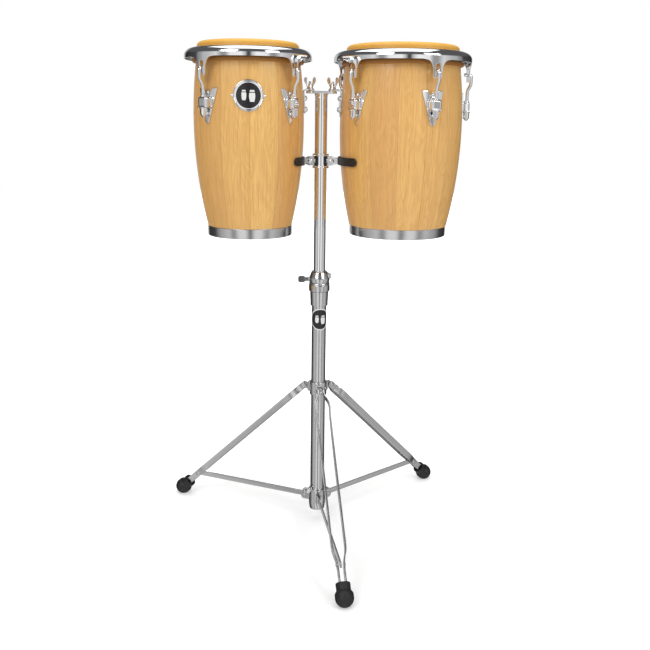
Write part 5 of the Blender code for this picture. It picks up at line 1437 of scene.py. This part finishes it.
def leg(name):
    """Two bowed flat bars from the pin to the foot, their rivets, spacer and joint rivet.

    Each bar's middle stands off the leg's line by the bow, a smooth curve through its
    spacings; its half width is a half circle at the top end.
    """
    look = bpy.context.scene.conga_stand
    top, out = leg_frame(name)
    down = down_of(LEG_ANGLE, out)
    side = np.cross(out, [0, 0, 1.0])
    end = LEG_LENGTH - 0.0070
    along = np.concatenate([BAR_WIDTH / 2 * -np.cos(spread(0, pi / 2, 10)), spread(0.002, 0.10, 36),
                            spread(0.106, end - 0.05, 40), spread(end - 0.045, end, 16)])
    bow = np.interp(along, [-0.0075, 0.008, 0.015, 0.022, 0.029, 0.036, 0.044, 0.060, 0.100, 0.200,
                            STRUT_ALONG - 0.030, STRUT_ALONG - 0.018, STRUT_ALONG - 0.006, end],
                    [0.0058, 0.0058, 0.0085, 0.0128, 0.0155, 0.0164, 0.0160, 0.0150, 0.0142, 0.0134,
                     0.0136, 0.0112, 0.0064, 0.0058])
    for _ in range(2):
        bow[1:-1] = (bow[:-2] + 2 * bow[1:-1] + bow[2:]) / 4
    half = np.where(along < 0, np.sqrt(np.maximum((BAR_WIDTH / 2) ** 2 - along ** 2, 1e-8)), BAR_WIDTH / 2)
    skins = []
    for way in (-1, 1):
        strip = bar(along, -half, half, -BAR_THICK / 2, BAR_THICK / 2, 0.0005, 4)
        strip[..., 2] += way * np.interp(strip[..., 0], along, bow)
        skins.append(skin_of(lidded(placed(strip, top, down, np.cross(side, down)))))
        at = top + side * way * (0.0058 + BAR_THICK / 2)
        skins.append(skin_of(stud_on(at, side * way, dome(look.rivet, 0.0026, 0.0008, 0.0006), 32)))
        low_at = top + down * STRUT_ALONG + side * way * (0.0062 + BAR_THICK / 2)
        rivet = dome(look.rivet * 0.92, 0.0024, 0.0012, 0.0006)
        skins.append(skin_of(stud_on(low_at, side * way, rivet, 32)))
        slot_at = top + down * 0.0165 + side * way * (0.0098 + BAR_THICK / 2)
        skins.append(skin_of(stud_on(slot_at, side * way, dome(0.0022, 0.0009, 0.0012, 0.0002), 24)))
    stem = softened([(0, -0.0058), (0.0030, -0.0058), (0.0030, 0.0058), (0, 0.0058)], 0.0002, 3)
    skins.append(skin_of(stud_on(top, side, stem)))
    block = bar([LEG_LENGTH - 0.0260, end], -0.0068, 0.0068, -0.0045, 0.0045, 0.0006)
    skins.append(skin_of(lidded(placed(block, top, down, np.cross(side, down)))))
    piece(name + "_twin_bars", skins, [plated_steel()], name + "_leg_set", (name + "_leg",))


def rubber_foot(name):
    """Turned rubber foot: a straight neck, a flared shoulder and a ball worn flat below."""
    top, out = leg_frame(name)
    down = down_of(LEG_ANGLE, out)
    centre = top + down * LEG_LENGTH
    profile = softened([(0, -0.0055), (0.0105, -0.0055), (0.0105, -0.0280), (0.0136, -0.0280),
                        (0.0145, -0.0270), (0.0143, -0.0150), (0.0147, -0.0128), (0.0178, -0.0088),
                        (0.0185, -0.0062), (0.0184, -0.0030)],
                       [0, .0005, .0006, .0006, .0008, .002, .002, .0014, .0016, 0], 6)
    ball = arc((0, 0), 0.0185, -8, 90, 26)
    ball = np.concatenate([ball[:-1], [[0.0, 0.0185]]])
    profile = np.concatenate([profile[:-1], ball])
    groove = np.interp(profile[:, 1], [-0.0246, -0.0240, -0.0234], [0, 0.0004, 0])
    profile[:, 0] -= np.where(profile[:, 0] > 0.013, groove, 0)
    points = stud_on(centre, down, profile, 72)
    points[..., 2] = np.maximum(points[..., 2], 0.0)
    piece(name + "_rubber_ball", [skin_of(points)], [moulded_rubber()], name + "_leg_set",
          (name + "_foot",), sharp=45)


def strut(name):
    """Flat bar with half-round ends from the hub's pin to the leg's joint."""
    low_pin = pin(name + "_strut_turn")
    top, out = leg_frame(name)
    joint = top + down_of(LEG_ANGLE, out) * STRUT_ALONG
    along_dir = joint - low_pin
    span = np.linalg.norm(along_dir)
    side = np.cross(out, [0, 0, 1.0])
    eye = STRUT_WIDTH / 2
    bend = np.sin(spread(-pi / 2, pi / 2, 60))
    cap = eye * np.cos(spread(0, pi / 2, 8))
    along = np.unique(np.concatenate([span / 2 + (span / 2 + eye) * bend, -cap, span + cap]))
    past = np.maximum(np.maximum(-along, along - span), 0)
    half = np.sqrt(np.maximum(eye ** 2 - past ** 2, 1e-8))
    strip = bar(along, -half, half, -0.0015, 0.0015, 0.0005, 3)
    skins = [skin_of(lidded(placed(strip, low_pin, along_dir, np.cross(side, along_dir))))]
    piece(name + "_strut_strip", skins, [plated_steel()], name + "_strut_bar",
          (name + "_strut",))


def collar():
    """Fixed collar: a banded ring on the tube and a rounded, riveted lug for each leg."""
    z_low, z_high = 0.3050, 0.3360
    bore, radius = BASE + GAP, 0.01925
    ring = softened([(bore, z_low + 0.002), (bore, z_low), (radius - 0.0006, z_low),
                     (radius, z_low + 0.003),
                     (radius, z_high - 0.003), (radius - 0.0006, z_high), (bore, z_high),
                     (bore, z_low + 0.002)], [0, .0003, .0008, .001, .001, .0008, .0003, 0], 4)
    skins = [skin_of(turned(ring, 96))]
    for name in LEGS:
        at, out = leg_frame(name)
        side = np.cross(out, [0, 0, 1.0])
        centre = np.array([AXIS[0], AXIS[1], at[2]])
        reach, r = np.linalg.norm(at[:2] - AXIS), BAR_WIDTH / 2 - 0.001
        x = np.concatenate([spread(BASE + 0.001, reach, 10), reach + r * np.sin(spread(0.1, pi / 2, 12))])
        tall = np.where(x > reach, np.sqrt(np.maximum(r ** 2 - (x - reach) ** 2, 1e-8)), r)
        tongue = bar(x, -tall, tall, -0.0035, 0.0035, 0.0006, 4)
        skins.append(skin_of(lidded(placed(tongue, centre, out, np.cross(side, out)))))
        cheek = bar(spread(BASE + 0.0015, BASE + 0.0080, 6), -0.0110, 0.0110, -0.0062, 0.0062, 0.0012, 3)
        skins.append(skin_of(lidded(placed(cheek, centre, out, np.cross(side, out)))))
    towards = radians(-90 + 63)
    out = np.array([cos(towards), sin(towards), 0.0])
    at = np.array([AXIS[0], AXIS[1], 0.3205]) + (radius - 0.0004) * out
    skins.append(skin_of(stud_on(at, out, dome(0.0036, 0.0018, 0.001, 0.0006))))
    piece("riveted_collar", skins, [plated_steel()], "stand_base", ("leg_collar",))


def hub():
    """Sliding hub: a sleeve with an open lower edge and a pair of cheeks for each strut."""
    z_low, z_high = 0.0276, 0.0765
    bore, radius = BASE + GAP, 0.01885
    sleeve = softened([(bore, z_low + 0.001), (bore, z_low), (bore + 0.0006, z_low),
                       (radius - 0.0012, z_low + 0.0040), (radius, z_low + 0.0120),
                       (radius, z_high - 0.0040), (radius + 0.0006, z_high - 0.0030),
                       (radius, z_high), (bore, z_high), (bore, z_low + 0.001)],
                      [0, .0002, .0003, .001, .002, .001, .0008, .0008, .0003, 0], 4)
    skins = [skin_of(turned(sleeve, 96))]
    eye = STRUT_WIDTH / 2
    for name in LEGS:
        at = pin(name + "_strut_turn")
        out = leg_frame(name)[1]
        side = np.cross(out, [0, 0, 1.0])
        reach = np.linalg.norm(at[:2] - AXIS)
        outer, tall = reach + eye + 0.0005, 0.0110
        start = BASE + 0.0012
        x = np.concatenate([spread(start, outer - 0.006, 10),
                            outer - 0.006 + 0.006 * np.sin(spread(0.1, pi / 2, 12))])
        past = np.clip(x - (outer - 0.006), 0, 0.006) / 0.006
        top_z = tall * (0.35 + 0.65 * np.sqrt(np.maximum(1 - past ** 2, 0.0)))
        centre = np.array([AXIS[0], AXIS[1], at[2]])
        for way in (-1, 1):
            inner, outside = 0.0018, 0.0060
            back, front = sorted((way * inner, way * outside))
            cheek = bar(x, -top_z, top_z, back, front, 0.0008, 4)
            skins.append(skin_of(lidded(placed(cheek, centre, out, np.cross(side, out)))))
            head_at = at + side * way * outside
            skins.append(skin_of(stud_on(head_at, side * way, dome(0.0040, 0.0020, 0.001, 0.0006), 28)))
        stem = softened([(0, -0.006), (0.0022, -0.006), (0.0022, 0.006), (0, 0.006)], 0.0002, 3)
        skins.append(skin_of(stud_on(at, side, stem)))
    screw = JOINTS["hub_screw_turn"]
    out = np.array(screw["axis"])
    boss = softened([(0, -0.0060), (0.0055, -0.0060), (0.0055, -0.0001), (0, -0.0001)], 0.0006, 4)
    skins.append(skin_of(stud_on(pin("hub_screw_turn"), out, boss)))
    piece("sliding_sleeve", skins, [plated_steel()], "hub", ("slide_hub",))


# ---------------------------------------------------------------- stage
EYE = (-0.162, -1.700, 0.899)   # the camera, from the post's axis and the floor
SHEET_REACH = 9.0               # radius of the floor


def studio_ring(tree, where):
    """Brightness of the studio round the horizon, from a direction.

    In front a dark line between two soft panels, black flags at the sides, and
    a white sheet behind.
    """
    flat = add(tree, "VectorMath", add(tree, "VectorMath", where, (1.0, 1.0, 0.0),
                                       operation="MULTIPLY").outputs[0],
               operation="NORMALIZE").outputs[0]
    x, y, _ = add(tree, "SeparateXYZ", flat).outputs
    levels = []
    for stops in (((-1.0, 0.50), (-0.86, 0.78), (-0.74, 0.30), (-0.66, 0.34), (-0.54, 0.92), (-0.22, 0.98),
                   (-0.10, 0.52), (-0.035, 0.08), (0.035, 0.08), (0.10, 0.56), (0.24, 1.0),
                   (0.54, 0.90), (0.64, 0.36), (0.74, 0.32), (0.86, 0.74), (1.0, 0.46)),
                  ((-1.0, 0.36), (-0.96, 0.06), (-0.52, 0.02), (-0.40, 0.60), (0.40, 0.60), (0.52, 0.02),
                   (0.96, 0.06), (1.0, 0.34))):
        node = add(tree, "ValToRGB", maths(tree, "MULTIPLY_ADD", x, 0.5, 0.5))
        ramp = node.color_ramp
        ramp.elements.remove(ramp.elements[1])
        ramp.elements[0].position = 0.0
        ramp.elements[0].color = (stops[0][1],) * 3 + (1,)
        for at, level in stops[1:]:
            ramp.elements.new(at * 0.5 + 0.5).color = (level, level, level, 1)
        levels.append(node.outputs[0])
    return mixed(tree, ranged(tree, y, -0.06, 0.06), levels[0], levels[1])


def studio_world(scene):
    """White to the camera; polished plate sees the studio ring under a dark ceiling."""
    world = bpy.data.worlds.new("Studio")
    scene.world = world
    world.use_nodes = True
    world.cycles.sampling_method = "NONE"
    tree = world.node_tree
    where = add(tree, "TexCoord").outputs["Generated"]
    up = add(tree, "SeparateXYZ", where).outputs[2]
    studio = mixed(tree, ranged(tree, up, 0.18, 0.42), studio_ring(tree, where), (0.10, 0.10, 0.105))
    path = add(tree, "LightPath").outputs
    level = scene.conga_stage.ambient
    seen = mixed(tree, path["Is Glossy Ray"], (level, level, level), studio)
    seen = mixed(tree, path["Is Camera Ray"], seen, (1.0, 1.0, 1.0))
    feed(tree, tree.nodes["Background"].inputs[0], seen)


def softbox(name, where, towards, size, power):
    """A rectangular area light at a place, turned to a point."""
    light = bpy.data.lights.new(name, "AREA")
    light.shape = "RECTANGLE"
    light.size, light.size_y = size
    light.energy = power
    lamp = bpy.data.objects.new(name, light)
    ahead = np.asarray(towards, float) - np.asarray(where, float)
    ahead /= np.linalg.norm(ahead)
    across = np.cross(ahead, [0.0, 0.0, 1.0])
    across /= np.linalg.norm(across)
    lamp.rotation_euler = Matrix(np.stack([across, np.cross(across, ahead), -ahead], 1).tolist()).to_euler()
    lamp.location = where
    bpy.context.scene.collection.objects.link(lamp)


def stage():
    """Pale floor, white surround, soft lights and the camera."""
    scene = bpy.context.scene
    look = scene.conga_stage
    scene.view_settings.view_transform = "Standard"
    studio_world(scene)
    material, tree, shader = blank("Pale floor", Roughness=0.9)
    where = place_of(tree)
    path = add(tree, "LightPath").outputs
    feed(tree, shader["Emission Color"], (1.0, 1.0, 1.0, 1.0))
    far = ranged(tree, add(tree, "VectorMath", where, operation="LENGTH").outputs["Value"],
                 0.2, 1.1, 0.20, 1.0)
    feed(tree, shader["Emission Strength"], maths(tree, "MULTIPLY", far, path["Is Camera Ray"]))
    mottle = effect(tree, "Mottle", mottle_group, where, 0.7)
    feed(tree, shader["Base Color"], mixed(tree, maths(tree, "MULTIPLY", mottle["Cloud"], 0.03),
                                           tuple(look.floor), (0.90, 0.90, 0.90)))
    radius = spread(0, SHEET_REACH, 12)[:, None]
    angle = spread(0, 2 * pi, 96, False)
    ground = np.stack([radius * np.cos(angle), radius * np.sin(angle), 0 * radius * angle - 0.0002], -1)
    points, faces, _, _ = skin_of(ground)
    mesh = bpy.data.meshes.new("pale_floor")
    mesh.from_pydata(points.tolist(), [], faces.tolist())
    mesh.materials.append(material)
    floor = bpy.data.objects.new("pale_floor", mesh)
    floor.visible_glossy = False
    scene.collection.objects.link(floor)
    floor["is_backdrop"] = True
    softbox("key", (-1.9, -2.3, 2.7), (0.0, 0.0, 0.75), (1.6, 1.4), look.key_power * 1.3)
    softbox("fill", (2.1, -2.2, 2.5), (0.0, 0.0, 0.75), (1.4, 1.2), look.key_power * 0.95)
    softbox("top", (0.0, 0.3, 3.0), (0.0, 0.1, 0.0), (2.4, 2.4), look.key_power * 0.9)
    camera = bpy.data.cameras.new("camera")
    camera.lens, camera.sensor_width = look.lens, 36.0
    eye = bpy.data.objects.new("camera", camera)
    h, p, r = look.heading, look.pitch, look.roll
    ahead = np.array([sin(h) * cos(p), cos(h) * cos(p), -sin(p)])
    right = np.array([cos(h), -sin(h), 0.0])
    up = np.cross(right, ahead)
    side = right * cos(r) + up * sin(r)
    rise = up * cos(r) - right * sin(r)
    pose = Matrix(np.stack([side, rise, -ahead], 1).tolist()).to_4x4()
    pose.translation = (AXIS[0] + EYE[0], AXIS[1] + EYE[1], EYE[2])
    eye.matrix_world = pose
    scene.collection.objects.link(eye)
    scene.camera = eye


# ---------------------------------------------------------------- operators
class CONGA_OT_staves(bpy.types.Operator):
    """Build both shells from bent staves"""

    bl_idname = "conga.staves"
    bl_label = "Stave shells"

    def execute(self, context):
        for drum in drums():
            stave_shell(drum)
        return {"FINISHED"}


class CONGA_OT_bands(bpy.types.Operator):
    """Put a steel band round the foot of each shell"""

    bl_idname = "conga.bands"
    bl_label = "Foot bands"

    def execute(self, context):
        for drum in drums():
            foot_band(drum)
        return {"FINISHED"}


class CONGA_OT_heads(bpy.types.Operator):
    """Stretch the rawhide heads with their hoops"""

    bl_idname = "conga.heads"
    bl_label = "Rawhide heads"

    def execute(self, context):
        for drum in drums():
            drum_head(drum)
        return {"FINISHED"}


class CONGA_OT_rims(bpy.types.Operator):
    """Press the chromed rims with their windowed ears"""

    bl_idname = "conga.rims"
    bl_label = "Pressed rims"

    def execute(self, context):
        for drum in drums():
            pressed_rim(drum)
        return {"FINISHED"}


class CONGA_OT_hooks(bpy.types.Operator):
    """Hang a tuning hook through each ear"""

    bl_idname = "conga.hooks"
    bl_label = "Tuning hooks"

    def execute(self, context):
        for drum in drums():
            for number, towards in enumerate(drum.lugs, 1):
                tuning_hook(drum, number, towards)
        return {"FINISHED"}


class CONGA_OT_lugs(bpy.types.Operator):
    """Bolt a V-shaped lug plate under each ear"""

    bl_idname = "conga.lugs"
    bl_label = "Lug plates"

    def execute(self, context):
        for drum in drums():
            for number, towards in enumerate(drum.lugs, 1):
                lug(drum, number, towards)
        return {"FINISHED"}


class CONGA_OT_nuts(bpy.types.Operator):
    """Screw a crown nut onto each hook"""

    bl_idname = "conga.nuts"
    bl_label = "Crown nuts"

    def execute(self, context):
        for drum in drums():
            for number, towards in enumerate(drum.lugs, 1):
                tuning_nut(drum, number, towards)
        return {"FINISHED"}


class CONGA_OT_brackets(bpy.types.Operator):
    """Bolt the side brackets to the shells"""

    bl_idname = "conga.brackets"
    bl_label = "Side brackets"

    def execute(self, context):
        for drum in drums():
            side_bracket(drum)
        return {"FINISHED"}


class CONGA_OT_badge(bpy.types.Operator):
    """Pin the round badge to the small drum"""

    bl_idname = "conga.badge"
    bl_label = "Badge"

    def execute(self, context):
        badge()
        return {"FINISHED"}


class CONGA_OT_post(bpy.types.Operator):
    """Stand the chromed post with its top plate"""

    bl_idname = "conga.post"
    bl_label = "Post"

    def execute(self, context):
        chromed_post()
        return {"FINISHED"}


class CONGA_OT_wing_nuts(bpy.types.Operator):
    """Screw a wing nut onto each stud of the post"""

    bl_idname = "conga.wing_nuts"
    bl_label = "Wing nuts"

    def execute(self, context):
        wing_nut("left", radians(20.0))
        wing_nut("right", radians(-35.0))
        return {"FINISHED"}


class CONGA_OT_stabilizer(bpy.types.Operator):
    """Clamp the stabilizer's two halves round the post"""

    bl_idname = "conga.stabilizer"
    bl_label = "Stabilizer"

    def execute(self, context):
        stabilizer("stabilizer_front", -1)
        stabilizer("stabilizer_back", 1)
        return {"FINISHED"}


class CONGA_OT_pads(bpy.types.Operator):
    """Fit the rubber pads that the shells lean on"""

    bl_idname = "conga.pads"
    bl_label = "Rubber pads"

    def execute(self, context):
        for drum in drums():
            rubber_pad(drum)
        return {"FINISHED"}


class CONGA_OT_tube(bpy.types.Operator):
    """Stand the base tube and wrap its label"""

    bl_idname = "conga.tube"
    bl_label = "Stand tube"

    def execute(self, context):
        stand_tube()
        return {"FINISHED"}


class CONGA_OT_clamp(bpy.types.Operator):
    """Fit the stepped height clamp"""

    bl_idname = "conga.clamp"
    bl_label = "Height clamp"

    def execute(self, context):
        clamp()
        return {"FINISHED"}


class CONGA_OT_lock(bpy.types.Operator):
    """Fit the memory lock's collar"""

    bl_idname = "conga.lock"
    bl_label = "Memory lock"

    def execute(self, context):
        lock_collar()
        return {"FINISHED"}


class CONGA_OT_screws(bpy.types.Operator):
    """Screw in the lock's bolt and the hub's screw"""

    bl_idname = "conga.screws"
    bl_label = "Winged screws"

    def execute(self, context):
        winged_screw("lock_paddle_bolt", "lock_bolt_turn", "memory_lock_wing_bolt", (-1.0, 0.0, 0.0),
                     0.0210, 0.0140, 0.0050, "lock_bolt",
                     dark_metal("Dark chrome", (0.26, 0.26, 0.27), (0.16, 0.16, 0.17)))
        out = tuple(JOINTS["hub_screw_turn"]["axis"])
        winged_screw("hub_paddle_screw", "hub_screw_turn", "hub_wing_screw", out,
                     0.0150, 0.0190, 0.0030, "hub_screw", bright_chrome())
        return {"FINISHED"}


class CONGA_OT_collar(bpy.types.Operator):
    """Fit the collar that the legs hang on"""

    bl_idname = "conga.collar"
    bl_label = "Leg collar"

    def execute(self, context):
        collar()
        return {"FINISHED"}


class CONGA_OT_legs(bpy.types.Operator):
    """Rivet the three twin-bar legs"""

    bl_idname = "conga.legs"
    bl_label = "Legs"

    def execute(self, context):
        for name in LEGS:
            leg(name)
        return {"FINISHED"}


class CONGA_OT_feet(bpy.types.Operator):
    """Push a rubber ball foot onto each leg"""

    bl_idname = "conga.feet"
    bl_label = "Feet"

    def execute(self, context):
        for name in LEGS:
            rubber_foot(name)
        return {"FINISHED"}


class CONGA_OT_hub(bpy.types.Operator):
    """Slide the hub onto the tube"""

    bl_idname = "conga.hub"
    bl_label = "Sliding hub"

    def execute(self, context):
        hub()
        return {"FINISHED"}


class CONGA_OT_struts(bpy.types.Operator):
    """Rivet a strut between the hub and each leg"""

    bl_idname = "conga.struts"
    bl_label = "Struts"

    def execute(self, context):
        for name in LEGS:
            strut(name)
        return {"FINISHED"}


class CONGA_OT_stage(bpy.types.Operator):
    """Lay the floor, hang the lights and place the camera"""

    bl_idname = "conga.stage"
    bl_label = "Stage"

    def execute(self, context):
        stage()
        return {"FINISHED"}


STEPS = (CONGA_OT_staves, CONGA_OT_bands, CONGA_OT_heads, CONGA_OT_rims,
         CONGA_OT_hooks, CONGA_OT_lugs, CONGA_OT_nuts, CONGA_OT_brackets,
         CONGA_OT_badge, CONGA_OT_post, CONGA_OT_wing_nuts, CONGA_OT_stabilizer,
         CONGA_OT_pads, CONGA_OT_tube, CONGA_OT_clamp, CONGA_OT_lock,
         CONGA_OT_screws, CONGA_OT_collar, CONGA_OT_legs, CONGA_OT_feet,
         CONGA_OT_hub, CONGA_OT_struts, CONGA_OT_stage)


class CONGA_PT_pieces(bpy.types.Panel):
    """Buttons that build the pieces, and their settings"""

    bl_idname = "CONGA_PT_pieces"
    bl_label = "Conga pair"
    bl_space_type = "VIEW_3D"
    bl_region_type = "UI"
    bl_category = "Congas"

    def draw(self, context):
        for step in STEPS:
            self.layout.operator(step.bl_idname)
        for settings in (context.scene.conga_drums, context.scene.conga_hardware,
                         context.scene.conga_stand, context.scene.conga_stage):
            column = self.layout.column(align=True)
            for key in settings.__annotations__:
                column.prop(settings, key)


CLASSES = (DrumSettings, HardwareSettings, StandSettings, StageSettings, *STEPS, CONGA_PT_pieces)


def register():
    """Register the classes and hang their settings on the scene."""
    for kind in CLASSES:
        bpy.utils.register_class(kind)
    bpy.types.Scene.conga_drums = PointerProperty(type=DrumSettings)
    bpy.types.Scene.conga_hardware = PointerProperty(type=HardwareSettings)
    bpy.types.Scene.conga_stand = PointerProperty(type=StandSettings)
    bpy.types.Scene.conga_stage = PointerProperty(type=StageSettings)


def unregister():
    """Take the settings off the scene and unregister the classes."""
    for key in ("conga_drums", "conga_hardware", "conga_stand", "conga_stage"):
        delattr(bpy.types.Scene, key)
    for kind in reversed(CLASSES):
        bpy.utils.unregister_class(kind)


def plain(bounds):
    """A box's two corners as plain lists of numbers."""
    return [[float(v) for v in corner] for corner in bounds]


def main():
    register()
    for step in STEPS:
        group, key = step.bl_idname.split(".")
        getattr(getattr(bpy.ops, group), key)()
    {"cad": plain(cad_bounds), "visual": plain(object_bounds())}


if __name__ == "__main__":
    main()
